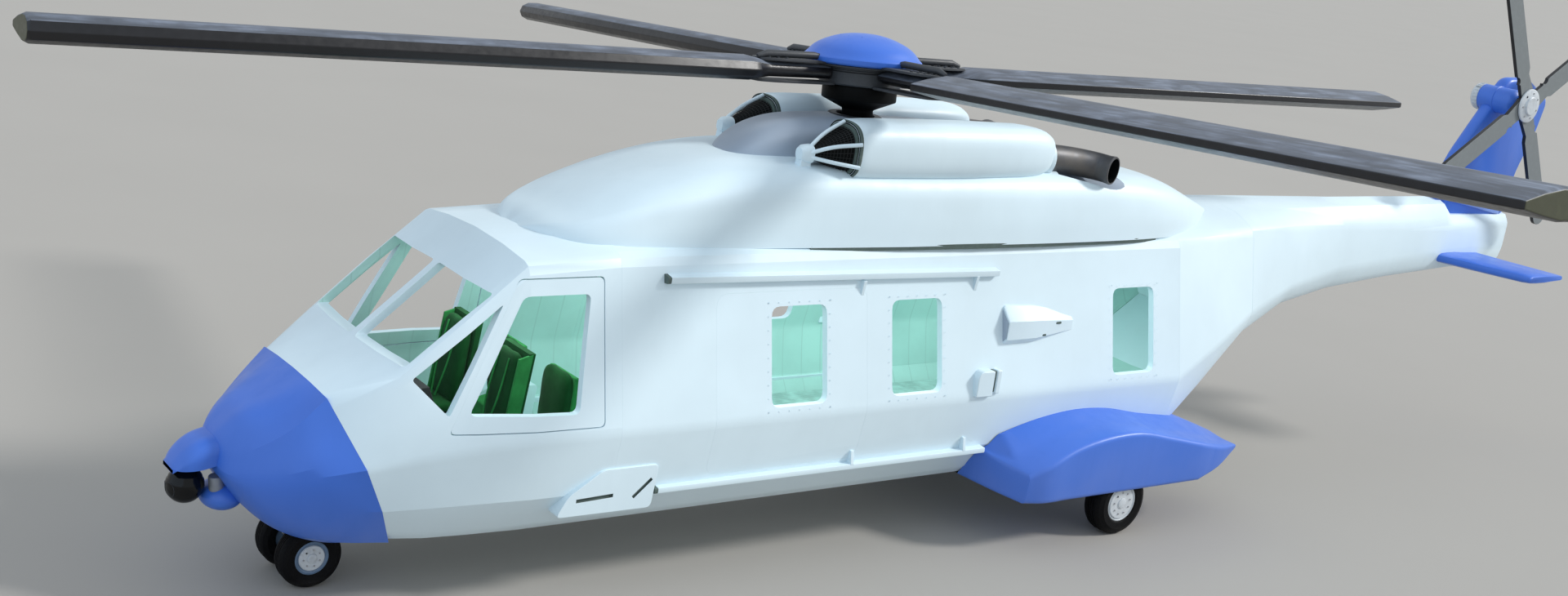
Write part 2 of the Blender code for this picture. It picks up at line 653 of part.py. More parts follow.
DOGHOUSE = (
    (1.55, 0.30, 3.66), (1.20, 0.36, 3.82), (0.60, 0.38, 3.93), (-1.10, 0.38, 3.93), (-1.75, 0.34, 3.72),
)


def make_gearbox_cowling(paint):
    rings = []
    for station, half_width, top in DOGHOUSE:
        half = [at(station, half_width, 3.40), at(station, half_width - 0.03, top - 0.06),
                at(station, half_width - 0.10, top), at(station, 0, top)]
        rings.append(half + [mirrored(point) for point in reversed(half[:-1])])
    cover = loft("gearbox_cowling", rings, paint["white"])
    hollow = turned("mast bore", ((0.27, 3.0), (0.27, 4.6)), at(0, 0, 0), (0, 0, 1), paint["white"])
    deck = raised_deck("deck form", paint)
    cut_and_settle(cover, [hollow, deck])
    drop([hollow, deck])


def raised_deck(name, paint):
    """The cowling's outer form, a gap larger, without its hollow."""
    outer = []
    for station, shoulder_y, shoulder_z, top_z in COWLING:
        half = [at(station, 0.93, 2.80)] + cowling_half(station, shoulder_y, shoulder_z + GAP, top_z + GAP)
        outer.append(half + [mirrored(point) for point in reversed(half[:-1])])
    return loft(name, outer, paint["white"])


NACELLE_Y = 0.64
NACELLE_HALF_WIDTH = 0.29
NACELLE_LOW = 3.50
NACELLE_TOP = 4.08
NACELLE_WALL = 0.035
NACELLE_RUN = ((0.62, 0.82), (0.45, 0.93), (0.10, 1.0), (-1.30, 1.0), (-1.96, 0.84))


def nacelle_ring(side, station, share, inset, sides=20):
    """A rounded box section around an engine, narrowed by share and inset."""
    middle_z = (NACELLE_LOW + NACELLE_TOP) / 2.0
    half_width = NACELLE_HALF_WIDTH * share - inset
    half_height = (NACELLE_TOP - NACELLE_LOW) / 2.0 * share - inset
    ring = []
    for index in range(sides):
        angle = 2.0 * math.pi * index / sides
        across = math.copysign(abs(math.cos(angle)) ** 0.6, math.cos(angle))
        upward = math.copysign(abs(math.sin(angle)) ** 0.6, math.sin(angle))
        ring.append(at(station, side * NACELLE_Y + across * half_width, middle_z + upward * half_height))
    return ring


ENGINE_REAR = -1.25
EXHAUST_RUN = ((ENGINE_REAR - GAP, 0.64, 3.745, 0.12), (-1.70, 0.64, 3.745, 0.13),
               (-2.05, 0.66, 3.73, 0.155), (-2.50, 0.74, 3.68, 0.16), (-2.87, 0.86, 3.63, 0.155))
EXHAUST_SCOOP_END = (-3.20, 0.98, 3.64, 0.16)
EXHAUST_WALL = 0.02


def exhaust_ring(side, station, y, z, radius, direction, sides=20):
    across = Vector((0, 0, 1)).cross(direction).normalized()
    upward = direction.cross(across).normalized()
    centre = at(station, side * y, z)
    return [centre + across * radius * math.cos(2 * math.pi * k / sides)
            + upward * radius * math.sin(2 * math.pi * k / sides) for k in range(sides)]


GEARBOX_TOP = 3.48


def exhaust_rings(side, run, growth):
    rings = []
    for index, (station, y, z, radius) in enumerate(run):
        before = run[max(index - 1, 0)]
        after = run[min(index + 1, len(run) - 1)]
        direction = (at(after[0], side * after[1], after[2])
                     - at(before[0], side * before[1], before[2])).normalized()
        rings.append(exhaust_ring(side, station, y, z, radius + growth, direction))
    return rings


def make_engines(paint, hull, cowling):
    for side, word in ((1, "left"), (-1, "right")):
        outer = [nacelle_ring(side, station, share, 0.0) for station, share in NACELLE_RUN]
        inner = [nacelle_ring(side, station, share, NACELLE_WALL) for station, share in NACELLE_RUN]
        shell = tube_panel(f"engine_nacelle_{word}", outer, inner, paint["white"])
        low = at(ENGINE_REAR, side * NACELLE_Y - 0.20, 3.585)
        high = at(-0.05, side * NACELLE_Y + 0.20, 3.94)
        engine = block(f"engine_{word}", low, high, paint["steel"])
        tube_panel(f"exhaust_pipe_{word}", exhaust_rings(side, EXHAUST_RUN, 0.0),
                   exhaust_rings(side, EXHAUST_RUN, -EXHAUST_WALL), paint["grey"])
        recess = loft("exhaust recess", exhaust_rings(side, EXHAUST_RUN[1:] + (EXHAUST_SCOOP_END,), 0.012),
                      paint["white"])
        cut_and_settle(cowling, [recess])
        drop([recess])
        lip, lip_share = NACELLE_RUN[0]
        screen = loft(f"intake_screen_{word}", [nacelle_ring(side, lip + GAP, lip_share, 0.0),
                                                nacelle_ring(side, lip + 0.36, 0.62, 0.0)], paint["mesh"])
        deck = raised_deck("deck form", paint)
        house = block("house side", at(-2.2, -0.3805, 3.2), at(1.7, 0.3805, 4.3), paint["white"])
        cut_and_settle(shell, [deck, house])
        cut_and_settle(screen, [deck, house])
        cut_and_settle(engine, [deck])
        drop([deck, house])
    gearbox = block("main_gearbox", at(-0.35, -0.30, 2.95), at(0.35, 0.30, GEARBOX_TOP), paint["steel"])
    cut_and_settle(gearbox, [hull])


# Sponson sections: station, inner y, foot y, underside z, z of the arched crease, z of the joint with the hull.
# The front is blunt, the outer side is flat below its arched crease, and the tail is a wedge beside the ramp
SPONSON_INNER_Y = 0.80
SPONSON_FOOT_Y = 1.765
SPONSON_LOW_Z = 0.49
SPONSON = (
    (-1.20, SPONSON_INNER_Y, 1.05, 0.56, 0.93, 0.98), (-1.31, SPONSON_INNER_Y, 1.40, 0.52, 0.84, 1.02),
    (-1.42, SPONSON_INNER_Y, 1.70, SPONSON_LOW_Z, 0.79, 1.06),
    (-1.63, SPONSON_INNER_Y, SPONSON_FOOT_Y, SPONSON_LOW_Z, 0.90, 1.12),
    (-1.95, SPONSON_INNER_Y, SPONSON_FOOT_Y, SPONSON_LOW_Z, 1.03, 1.19),
    (-2.40, SPONSON_INNER_Y, SPONSON_FOOT_Y, SPONSON_LOW_Z, 1.12, 1.24),
    (-2.87, SPONSON_INNER_Y, SPONSON_FOOT_Y, SPONSON_LOW_Z, 1.135, 1.215),
    (-3.40, SPONSON_INNER_Y, SPONSON_FOOT_Y, SPONSON_LOW_Z, 1.03, 1.11),
    (-3.93, 0.96, SPONSON_FOOT_Y, SPONSON_LOW_Z, 0.91, 1.03),
    (-4.30, 1.05, 1.70, 0.57, 0.83, 0.93), (-4.66, 1.25, 1.58, 0.70, 0.77, 0.80),
)
# How far the outer side leans out to its crease, and where the concave top meets the hull's side
SPONSON_LEAN = 0.025
SPONSON_JOINT_Y = 1.25
SPONSON_EDGE = 0.05
WHEEL_WELL = ((-3.26, 1.28, 0.30), (-2.42, 1.745, 0.76))
# The ramp swings down between the sponsons' tails: its hinge station, its rear end and its half width
RAMP_PATH = (-3.90, -4.70, 0.956)


def sponson_section(side, station, inner_y, foot_y, low_z, crease_z, joint_z):
    """One section: underside, flat outer side, rounded crease, and a hollow top up to the hull."""
    out_y = foot_y + SPONSON_LEAN
    joint_y = min(SPONSON_JOINT_Y, 0.5 * (inner_y + out_y))
    points = (
        (inner_y, low_z), (foot_y - SPONSON_EDGE, low_z), (foot_y, low_z + 0.5 * SPONSON_EDGE),
        (out_y, crease_z - SPONSON_EDGE), (out_y - 0.4 * SPONSON_EDGE, crease_z - 0.2 * SPONSON_EDGE),
        (out_y - 1.3 * SPONSON_EDGE, crease_z),
        (0.5 * (out_y + joint_y), 0.6 * crease_z + 0.4 * joint_z - 0.1 * SPONSON_EDGE),
        (joint_y, joint_z), (inner_y, joint_z),
    )
    return [at(station, side * y, z) for y, z in points]


def make_sponsons(paint, hull):
    for side, word in ((1, "left"), (-1, "right")):
        shell = loft(f"sponson_{word}", [sponson_section(side, *row) for row in SPONSON], paint["blue"])
        low, high = WHEEL_WELL
        ys = sorted((side * low[1], side * high[1]))
        well = block("wheel well", at(low[0], ys[0], low[2]), at(high[0], ys[1], high[2]), paint["blue"])
        hinge, rear, half_width = RAMP_PATH
        ys = sorted((side * 0.5, side * half_width))
        path = block("ramp path", at(rear, ys[0], 0.3), at(hinge, ys[1], 1.4), paint["blue"])
        cut_and_settle(shell, [hull, well, path])
        drop([well, path])


def wheel_profile(radius, half_width, rim_radius, dish, bore):
    """Tyre and rim as one turned outline, outer face first, with a bore along the axle."""
    return (
        (bore, -half_width * 0.55), (bore, half_width * 0.60), (rim_radius * 0.55, half_width * 0.60),
        (rim_radius * 0.80, half_width * 0.72 - dish), (rim_radius, half_width * 0.80),
        (radius * 0.80, half_width), (radius * 0.94, half_width * 0.82), (radius, half_width * 0.45),
        (radius, -half_width * 0.45), (radius * 0.94, -half_width * 0.82), (radius * 0.80, -half_width),
        (rim_radius, -half_width * 0.80), (rim_radius * 0.80, -half_width * 0.55),
    )


def turned_ring(name, profile, centre, axis, material, sides=36):
    """A solid of revolution whose closed outline stays off the axis."""
    axis = Vector(axis).normalized()
    turn = axis.to_track_quat("Z", "Y").to_matrix()
    mesh_data = bmesh.new()
    rows = []
    for radius, height in profile:
        row = []
        for index in range(sides):
            angle = 2.0 * math.pi * index / sides
            local = Vector((radius * math.cos(angle), radius * math.sin(angle), height))
            row.append(mesh_data.verts.new(Vector(centre) + turn @ local))
        rows.append(row)
    count = len(rows)
    for i in range(count):
        row, following = rows[i], rows[(i + 1) % count]
        for index in range(sides):
            after = (index + 1) % sides
            mesh_data.faces.new((row[index], row[after], following[after], following[index]))
    return finish_mesh(name, mesh_data, material)


AXLE_RADIUS = 0.045
NOSE_AXLE_RADIUS = 0.04
ROUND_SIDES = 36


def bore_radius(shaft_radius):
    """A bore whose flats still clear a shaft of this radius."""
    return (shaft_radius + GAP) / math.cos(math.pi / ROUND_SIDES)


def make_main_gear(paint):
    for side, word in ((1, "left"), (-1, "right")):
        hub = at(MAIN_WHEEL_STATION, side * MAIN_WHEEL_Y, MAIN_WHEEL_RADIUS)
        profile = wheel_profile(MAIN_WHEEL_RADIUS, MAIN_WHEEL_WIDTH / 2.0, 0.19, 0.01,
                                bore_radius(AXLE_RADIUS))
        wheel = turned_ring(f"main_wheel_{word}", profile, hub, (0, side, 0), paint["black"])
        set_origin(wheel, hub)
        leg_y = MAIN_WHEEL_Y - MAIN_WHEEL_WIDTH / 2.0 - 0.075
        low, high = sorted((side * (leg_y - 0.05), side * (leg_y + 0.05)))
        leg = block(f"main_leg_{word}", at(MAIN_WHEEL_STATION - 0.07, low, MAIN_WHEEL_RADIUS - 0.08),
                    at(MAIN_WHEEL_STATION + 0.07, high, WHEEL_WELL[1][2] - GAP), paint["steel"])
        axle_end = at(MAIN_WHEEL_STATION, side * leg_y, MAIN_WHEEL_RADIUS)
        axle = turned("axle", ((0.0, 0.0), (AXLE_RADIUS, 0.0), (AXLE_RADIUS, 0.21), (0.0, 0.21)),
                      axle_end, (0, side, 0), paint["steel"], 24)
        cut_and_settle(leg, [axle], "UNION")
        drop([axle])


def make_nose_gear(paint):
    centre = at(NOSE_WHEEL_STATION, 0, NOSE_WHEEL_RADIUS)
    pieces = []
    for side in (1, -1):
        hub = at(NOSE_WHEEL_STATION, side * NOSE_WHEEL_Y, NOSE_WHEEL_RADIUS)
        profile = wheel_profile(NOSE_WHEEL_RADIUS, NOSE_WHEEL_WIDTH / 2.0, 0.14, 0.01, 0.03)
        pieces.append(turned_ring(f"nose tyre {side}", profile, hub, (0, side, 0), paint["black"]))
    reach = NOSE_WHEEL_Y + 0.05
    axle = turned("nose axle", ((0.0, -reach), (NOSE_AXLE_RADIUS, -reach), (NOSE_AXLE_RADIUS, reach),
                                (0.0, reach)), centre, (0, 1, 0), paint["steel"], 24)
    wheels = pieces[0]
    wheels.name = "nose_wheels"
    cut_and_settle(wheels, [pieces[1], axle], "UNION")
    drop([pieces[1], axle])
    set_origin(wheels, centre)
    foot = NOSE_WHEEL_RADIUS + NOSE_AXLE_RADIUS
    height = NOSE_WELL_TOP - GAP - foot
    leg = turned("nose_leg", ((0.0, 0.0), (0.055, 0.0), (0.055, height - 0.09), (0.085, height - 0.07),
                              (0.085, height), (0.0, height)), at(NOSE_WHEEL_STATION, 0, foot), (0, 0, 1),
                 paint["steel"], 24)
    lug_low = at(NOSE_WHEEL_STATION - 0.08, -0.085, 0.18)
    lug_high = at(NOSE_WHEEL_STATION + 0.08, 0.085, 0.36)
    lug = block("lug", lug_low, lug_high, paint["steel"])
    hole = bore_radius(NOSE_AXLE_RADIUS)
    bore = turned("bore", ((0.0, -0.2), (hole, -0.2), (hole, 0.2), (0.0, 0.2)), centre, (0, 1, 0),
                  paint["steel"], ROUND_SIDES)
    cut_and_settle(leg, [lug], "UNION")
    cut_and_settle(leg, [bore])
    drop([lug, bore])
    set_origin(leg, at(NOSE_WHEEL_STATION, 0, 0.6))


RAIL_FRONT = 2.60
RAIL_REAR = -1.20


def make_side_fittings(paint, hull):
    for side, word in ((1, "left"), (-1, "right")):
        def section(points):
            return [(side * y, z) for y, z in points]

        span = (at(RAIL_REAR, 0, 0).x, at(RAIL_FRONT, 0, 0).x)
        upper = prism(f"upper_rail_{word}", section(((0.90, 2.62), (1.08, 2.64), (1.08, 2.70), (0.90, 2.73))),
                      *span, paint["white"], "yz")
        lower_section = section(((1.10, 0.88), (1.27, 0.90), (1.27, 0.945), (1.10, 0.96)))
        lower = prism(f"lower_rail_{word}", lower_section, *span, paint["white"], "yz")
        outline = [(MAST_X + a, b) for a, b in
                   ((3.58, 0.785), (3.48, 0.96), (3.165, 1.165), (2.62, 1.165), (2.66, 0.78))]
        low, high = sorted((side * 0.9, side * 1.265))
        step = prism(f"step_panel_{word}", outline, low, high, paint["white"])
        fairing_rings = []
        for station, size, out_y in ((-1.30, 1.0, 1.24), (-1.70, 0.96, 1.24), (-2.25, 0.35, 1.15)):
            ring = []
            for index in range(8):
                angle = math.pi / 8 + index * math.pi / 4
                ring.append(at(station, side * (1.03 + (out_y - 1.03) * math.cos(angle)),
                               2.155 + 0.245 * size * math.sin(angle)))
            fairing_rings.append(ring)
        fairing = loft(f"side_fairing_{word}", fairing_rings, paint["white"])
        for piece in (upper, lower, step, fairing):
            cut_and_settle(piece, [hull])


GEARBOX_RECESS_Y = 0.25
# Stabiliser sections from root to tip: y, front station, rear station, thickness
STABILISER_Z = 2.38
STABILISER = ((0.10, -9.72, -10.85, 0.13), (0.60, -9.87, -10.87, 0.13),
              (1.36, -10.12, -10.93, 0.12), (1.42, -10.16, -10.92, 0.09))


def make_tail(paint, hull):
    side_form = [(-9.80, 3.10), (-10.10, 3.10), (-10.10, 2.85), (-11.45, 2.85), (-11.60, 3.48),
                 (-11.86, 4.05), (-11.99, 4.48), (-11.43, 4.76), (-10.94, 4.75), (-10.13, 3.745)]
    fin = prism("tail_fin", [(MAST_X + a, b) for a, b in side_form], -0.09, 0.09, paint["blue"])
    bore = turned("gearbox bore", ((0.0, -0.6), (0.1703, -0.6), (0.1703, 0.6), (0.0, 0.6)),
                  at(TAIL_ROTOR_STATION, 0, TAIL_ROTOR_Z), (0, 1, 0), paint["blue"], 28)
    cut_and_settle(fin, [hull, bore])
    drop([bore])
    centre = at(TAIL_ROTOR_STATION, 0, TAIL_ROTOR_Z)
    case = ((0.0, -0.14), (0.17, -0.14), (0.17, 0.31), (0.12, 0.36), (0.08, 0.36),
            (0.08, GEARBOX_RECESS_Y), (0.0, GEARBOX_RECESS_Y))
    cap = ((0.0, -0.27), (0.13, -0.26), (0.175, -0.22), (0.175, -0.14 - GAP), (0.0, -0.14 - GAP))
    turned("tail_gearbox", case, centre, (0, 1, 0), paint["blue"], 28)
    turned("tail_gearbox_cap", cap, centre, (0, 1, 0), paint["white"], 28)
    rings = []
    for y, front, rear, thick in STABILISER:
        section = ((front, 0.25 * thick), (front - 0.05, 0.5 * thick), (front - 0.35, 0.5 * thick),
                   (rear, 0.03), (rear, -0.02), (front - 0.35, -0.5 * thick), (front - 0.05, -0.5 * thick),
                   (front, -0.25 * thick))
        rings.append([at(station, y, STABILISER_Z + z) for station, z in section])
    stabiliser = loft("stabiliser", rings, paint["blue"])
    cut_and_settle(stabiliser, [hull])


SENSOR_BALL = (6.21, 0.90)
SENSOR_RADIUS = 0.155
HOOD_UNDERSIDE = 1.08


def make_sensor(paint):
    station, z = SENSOR_BALL
    hood_rings = []
    low = HOOD_UNDERSIDE
    for a, top, half in ((5.80, 1.30, 0.22), (6.02, 1.33, 0.22), (6.20, 1.26, 0.20), (6.34, 1.12, 0.14)):
        hood_rings.append([at(a, half * math.cos(t), low + (top - low) * math.sin(t))
                           for t in [math.pi * k / 8 for k in range(9)]])
    hood = loft("sensor_hood", hood_rings, paint["blue"])
    nose_rings = [grown_ring(full_ring(half_section(frame)), 1.2 * GAP) for frame in
                  (FRAMES["nose joint"],) + NOSE_FRAMES]
    nose_rings[-1] = [point + Vector((1.2 * GAP, 0.0, 0.0)) for point in nose_rings[-1]]
    nose = loft("nose form", nose_rings, paint["blue"])
    cut_and_settle(hood, [nose])
    drop([nose])
    profile = [(0.0, -SENSOR_RADIUS)]
    for k in range(1, 12):
        angle = -math.pi / 2 + math.pi * k / 13
        profile.append((SENSOR_RADIUS * math.cos(angle), SENSOR_RADIUS * math.sin(angle)))
    neck = HOOD_UNDERSIDE - GAP - z
    profile += [(0.05, 0.15), (0.05, neck), (0.0, neck)]
    ball = turned("sensor_ball", profile, at(station, 0, z), (0, 0, 1), paint["black"], 28)
    set_origin(ball, at(station, 0, z))


BLADE_SECTION = ((1.0, 0.0), (0.95, 0.62), (0.82, 0.95), (0.62, 1.0), (0.30, 0.72), (0.0, 0.30),
                 (0.0, -0.20), (0.30, -0.55), (0.62, -0.85), (0.82, -0.85), (0.95, -0.55))


def blade_ring(radius, leading, trailing, half_thickness):
    """Section of a blade lying along local X, with its leading edge towards +Y."""
    ring = []
    for share, height in BLADE_SECTION:
        ring.append(Vector((radius, -trailing + share * (leading + trailing), height * half_thickness)))
    return ring


HUB_RADIUS = 0.40
COLLAR_RADIUS = 0.36
MAST_RADIUS = 0.15
DOME_RADIUS = 0.57
MAST_LENGTH = (ROTOR_Z - GEARBOX_TOP - GAP - MAST_RADIUS * math.sin(ROTOR_LEAN)) / math.cos(ROTOR_LEAN)


def make_main_rotor(paint):
    axis = bpy.data.objects.new("rotor_axis", None)
    bpy.context.collection.objects.link(axis)
    axis.location = at(0, 0, ROTOR_Z)
    axis.rotation_euler = (ROTOR_LEAN, 0.0, 0.0)
    hub = turned("rotor_hub", ((0.0, -MAST_LENGTH), (MAST_RADIUS, -MAST_LENGTH), (MAST_RADIUS, -0.38),
                               (COLLAR_RADIUS, -0.28), (COLLAR_RADIUS, -0.15), (HUB_RADIUS, -0.14),
                               (HUB_RADIUS, 0.05), (0.0, 0.05)), (0, 0, 0), (0, 0, 1), paint["black"], 32)
    hub.rotation_euler = (0.0, 0.0, ROTOR_TURN)
    foot = 0.05 + GAP
    dome_profile = ((0.0, foot), (0.88 * DOME_RADIUS, foot), (DOME_RADIUS, 0.075), (0.985 * DOME_RADIUS, 0.12),
                    (0.84 * DOME_RADIUS, 0.205), (0.56 * DOME_RADIUS, 0.29), (0.25 * DOME_RADIUS, 0.335),
                    (0.0, 0.345))
    dome = turned("rotor_dome", dome_profile, (0, 0, 0), (0, 0, 1), paint["blue"], 32)
    for piece in (hub, dome):
        piece.parent = axis
    trailing = BLADE_CHORD - BLADE_LEADING
    for index, word in enumerate(("front", "left", "rear", "right")):
        rings = [blade_ring(HUB_RADIUS + GAP, 0.10, 0.10, 0.07), blade_ring(1.12, 0.14, 0.14, 0.075),
                 blade_ring(1.30, BLADE_LEADING, trailing, 0.12),
                 blade_ring(ROTOR_RADIUS - 0.06, BLADE_LEADING, trailing, 0.12),
                 blade_ring(ROTOR_RADIUS, BLADE_LEADING, trailing, 0.10)]
        blade = loft(f"rotor_blade_{word}", rings, paint["grey"])
        blade.parent = axis
        blade.location = (0.0, 0.0, -0.04)
        blade.rotation_euler = (0.0, 0.0, ROTOR_TURN + index * math.pi / 2.0)


def make_tail_rotor(paint):
    half = TAIL_BLADE_CHORD / 2.0
    root = 0.16
    outline = []
    for arm in range(4):
        turn = Matrix.Rotation(TAIL_ROTOR_TURN + arm * math.pi / 2.0, 2)
        shape = [(root, -0.10), (0.42, -0.10), (0.50, -half)]
        for k in range(9):
            angle = -math.pi / 2 + math.pi * k / 8
            shape.append((TAIL_TIP_CENTRE + half * math.cos(angle), half * math.sin(angle)))
        shape += [(0.50, half), (0.42, 0.10)]
        outline += [tuple(turn @ Vector(point)) for point in shape]
    centre = at(TAIL_ROTOR_STATION, TAIL_ROTOR_Y, TAIL_ROTOR_Z)
    points = [(centre.x + a, centre.z + b) for a, b in outline]
    blades = prism("tail_rotor_blades", points, TAIL_ROTOR_Y - 0.025, TAIL_ROTOR_Y + 0.025, paint["grey"])
    bore = turned("tail bore", ((0.0, -0.3), (0.0603, -0.3), (0.0603, 0.3), (0.0, 0.3)), centre, (0, 1, 0),
                  paint["grey"], 24)
    cut_and_settle(blades, [bore])
    drop([bore])
    set_origin(blades, centre)
    root = -(TAIL_ROTOR_Y - GEARBOX_RECESS_Y - GAP)
    hub = turned("tail_rotor_hub", ((0.0, root), (0.06, root), (0.06, 0.025 + GAP), (0.22, 0.025 + GAP),
                                    (0.22, 0.06), (0.12, 0.09), (0.0, 0.09)), centre, (0, 1, 0),
                 paint["white"], 24)
    set_origin(hub, centre)


def main():
    for item in list(bpy.data.objects):
        bpy.data.objects.remove(item)
    paint = make_materials()
    hull = make_hull_guide(paint)
    make_hull(paint)
    make_nose(paint)
    make_tail_boom(paint)
    make_floors(paint)
    make_cockpit(paint)
    cowling = make_upper_cowling(paint, hull)
    make_gearbox_cowling(paint)
    make_engines(paint, hull, cowling)
    make_sponsons(paint, hull)
    make_main_gear(paint)
    make_nose_gear(paint)
    make_side_fittings(paint, hull)
    make_tail(paint, hull)
    make_sensor(paint)
    make_main_rotor(paint)
    make_tail_rotor(paint)
    drop([hull])


main()
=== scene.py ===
"""The finish of a medium transport helicopter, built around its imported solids.

Metres, +X to the nose, +Y to port, +Z up, on the ground at z = 0.
Stations are measured along X from the rotor mast, positive towards the nose.
A profile is a row of (radius, distance along the axis) to be turned about an axis.
"""
import json
import math

import bmesh
import bpy
from mathutils import Matrix, Vector


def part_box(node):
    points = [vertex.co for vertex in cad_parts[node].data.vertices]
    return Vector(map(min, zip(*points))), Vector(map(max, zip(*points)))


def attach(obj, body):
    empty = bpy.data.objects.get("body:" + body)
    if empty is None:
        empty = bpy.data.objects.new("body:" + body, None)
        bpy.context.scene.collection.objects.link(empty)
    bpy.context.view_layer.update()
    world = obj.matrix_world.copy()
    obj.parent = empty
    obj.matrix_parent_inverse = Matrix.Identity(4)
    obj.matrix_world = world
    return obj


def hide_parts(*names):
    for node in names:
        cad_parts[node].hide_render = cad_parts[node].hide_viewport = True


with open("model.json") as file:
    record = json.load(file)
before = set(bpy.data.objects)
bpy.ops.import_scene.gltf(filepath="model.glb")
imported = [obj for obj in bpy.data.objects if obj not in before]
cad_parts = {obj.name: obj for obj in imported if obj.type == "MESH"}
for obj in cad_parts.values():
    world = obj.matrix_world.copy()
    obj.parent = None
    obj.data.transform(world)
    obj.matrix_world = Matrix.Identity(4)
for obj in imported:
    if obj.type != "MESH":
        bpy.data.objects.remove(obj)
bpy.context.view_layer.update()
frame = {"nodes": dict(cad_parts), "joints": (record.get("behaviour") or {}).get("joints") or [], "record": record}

bl_info = {
    "name": "Transport Helicopter",
    "version": (1, 0, 0),
    "blender": (4, 5, 0),
    "location": "3D View > Sidebar > Helicopter",
    "description": "Paints and details a transport helicopter around its fixed solids",
    "category": "Object",
}

# What the frame gives
JOINTS = {joint["name"]: joint for joint in frame["joints"]}
BODIES = frame["record"]["behaviour"]["bodies"]
BODY_OF = {node: body for body, nodes in BODIES.items() for node in nodes}
MAST = Vector(JOINTS["main_rotor_spin"]["pos_m"])
ROTOR_AXIS = Vector(JOINTS["main_rotor_spin"]["axis"])
ROTOR_LEAN = math.atan2(-ROTOR_AXIS.y, ROTOR_AXIS.z)
TAIL_ROTOR = Vector(JOINTS["tail_rotor_spin"]["pos_m"])

# Directions, and working tolerances
SIDES = ((1, "left"), (-1, "right"))
UP = (0, 0, 1)
PORT = (0, 1, 0)
MERGE = 0.00002
FLAT_ANGLE = math.radians(0.7)
SHARP = 38.0
GAP = 0.0005

# The photograph's camera: place, heading, downward look, roll, lens and frame
CAMERA_PLACE = (13.148, 12.925, 6.301)
CAMERA_HEADING = math.radians(142.159)
CAMERA_LOOK_DOWN = math.radians(12.321)
CAMERA_ROLL = math.radians(-7.901)
CAMERA_LENS_MM = 40.379
CAMERA_SHIFT_Y = -0.0346
CAMERA_REACH = 3000.0
SENSOR_WIDTH_MM = 36.0

# The main lamp stands behind on the port side, and a wide one fills from the front
LAMP_FROM = (-0.713, 0.390, 0.583)
LAMP_STRENGTH = 2.4
LAMP_COLOUR = (1.0, 0.985, 0.96)
FILL_FROM = (0.9, 0.2, 0.45)
FILL_STRENGTH = 0.7
FILL_COLOUR = (0.45, 0.70, 1.0)
FILL_WIDTH = math.radians(90.0)
WORLD_COLOUR = (0.90, 0.95, 1.0)
WORLD_STRENGTH = 0.73
STAGE_REACH = 1500.0
# Ceiling lamps inside: station, height, power in watts, length and width
CEILING_LAMPS = ((3.55, 2.72, 13.0, 0.5, 0.9), (1.30, 2.86, 27.0, 1.6, 1.2),
                 (-0.90, 2.86, 23.0, 1.6, 1.2), (-2.90, 2.86, 22.0, 1.4, 1.2))
CEILING_COLOUR = (0.86, 1.0, 0.97)


def at(station, y, z):
    """The point at a station along the machine."""
    return Vector((MAST.x + station, y, z))


def placed(points, side=1):
    """Points of (station, y, z), given for the port side, on one side of the machine."""
    return [at(station, side * y, z) for station, y, z in points]


def shifted(outline, station, z):
    """An outline given from a point, as (station, z)."""
    return [(station + ahead, z + rise) for ahead, rise in outline]


# Settings a user would change
def colour_setting(title, description, default):
    """A colour property."""
    return bpy.props.FloatVectorProperty(name=title, description=description, default=default,
                                         subtype="COLOR", min=0.0, max=1.0)


def length_setting(title, description, default, smallest=0.001):
    """A length property, in metres."""
    return bpy.props.FloatProperty(name=title, description=description, default=default,
                                   unit="LENGTH", min=smallest)


class HelicopterColours(bpy.types.PropertyGroup):
    """The colours of the helicopter's finishes."""
    white: colour_setting("White", "Hull and cowling paint", (0.71, 0.855, 0.925))
    blue: colour_setting("Blue", "Nose, sponson, fin and dome paint", (0.045, 0.165, 0.67))
    # Fairing grey: partly a greyer paint, partly painted shade on the gearbox fairing under the hub, the side
    # fairings' front faces and the scoops' hollows
    fairing: colour_setting("Fairing", "Gearbox fairing's greyer paint", (0.36, 0.43, 0.52))
    lining: colour_setting("Lining", "Cabin and cockpit lining", (0.48, 0.72, 0.68))
    seat: colour_setting("Seat", "Seat cloth", (0.012, 0.085, 0.022))
    blade: colour_setting("Blade", "Upper faces of the rotor blades", (0.13, 0.15, 0.19))
    floor: colour_setting("Floor", "Studio floor", (0.385, 0.366, 0.338))


class HelicopterSizes(bpy.types.PropertyGroup):
    """The sizes of the helicopter's fine details."""
    edge_rounding: length_setting("Edge rounding", "Rounding of sheet edges", 0.001, 0.0)
    rivet_radius: length_setting("Fastener radius", "Radius of a fastener head", 0.006)
    rivet_spacing: length_setting("Fastener spacing", "Distance between fasteners", 0.11, 0.02)
    wire_radius: length_setting("Wire radius", "Radius of the intake screens' wire", 0.0025)
    lamp_width: bpy.props.FloatProperty(name="Lamp width", description="How wide the studio lamp looks",
                                        default=math.radians(10.0), unit="ROTATION", min=0.0)


def colour_of(name):
    """A colour from the settings."""
    return tuple(getattr(bpy.context.scene.helicopter_colours, name))


def size_of(name):
    """A size from the settings."""
    return getattr(bpy.context.scene.helicopter_sizes, name)


# Shader arithmetic
class Value:
    """A number's shader socket that Python can multiply, the only arithmetic in these finishes."""

    def __init__(self, maker, output):
        self.maker = maker
        self.output = output

    def __mul__(self, other):
        return self.maker.node("ShaderNodeMath", {"operation": "MULTIPLY"}, {0: self, 1: other})

    __rmul__ = __mul__


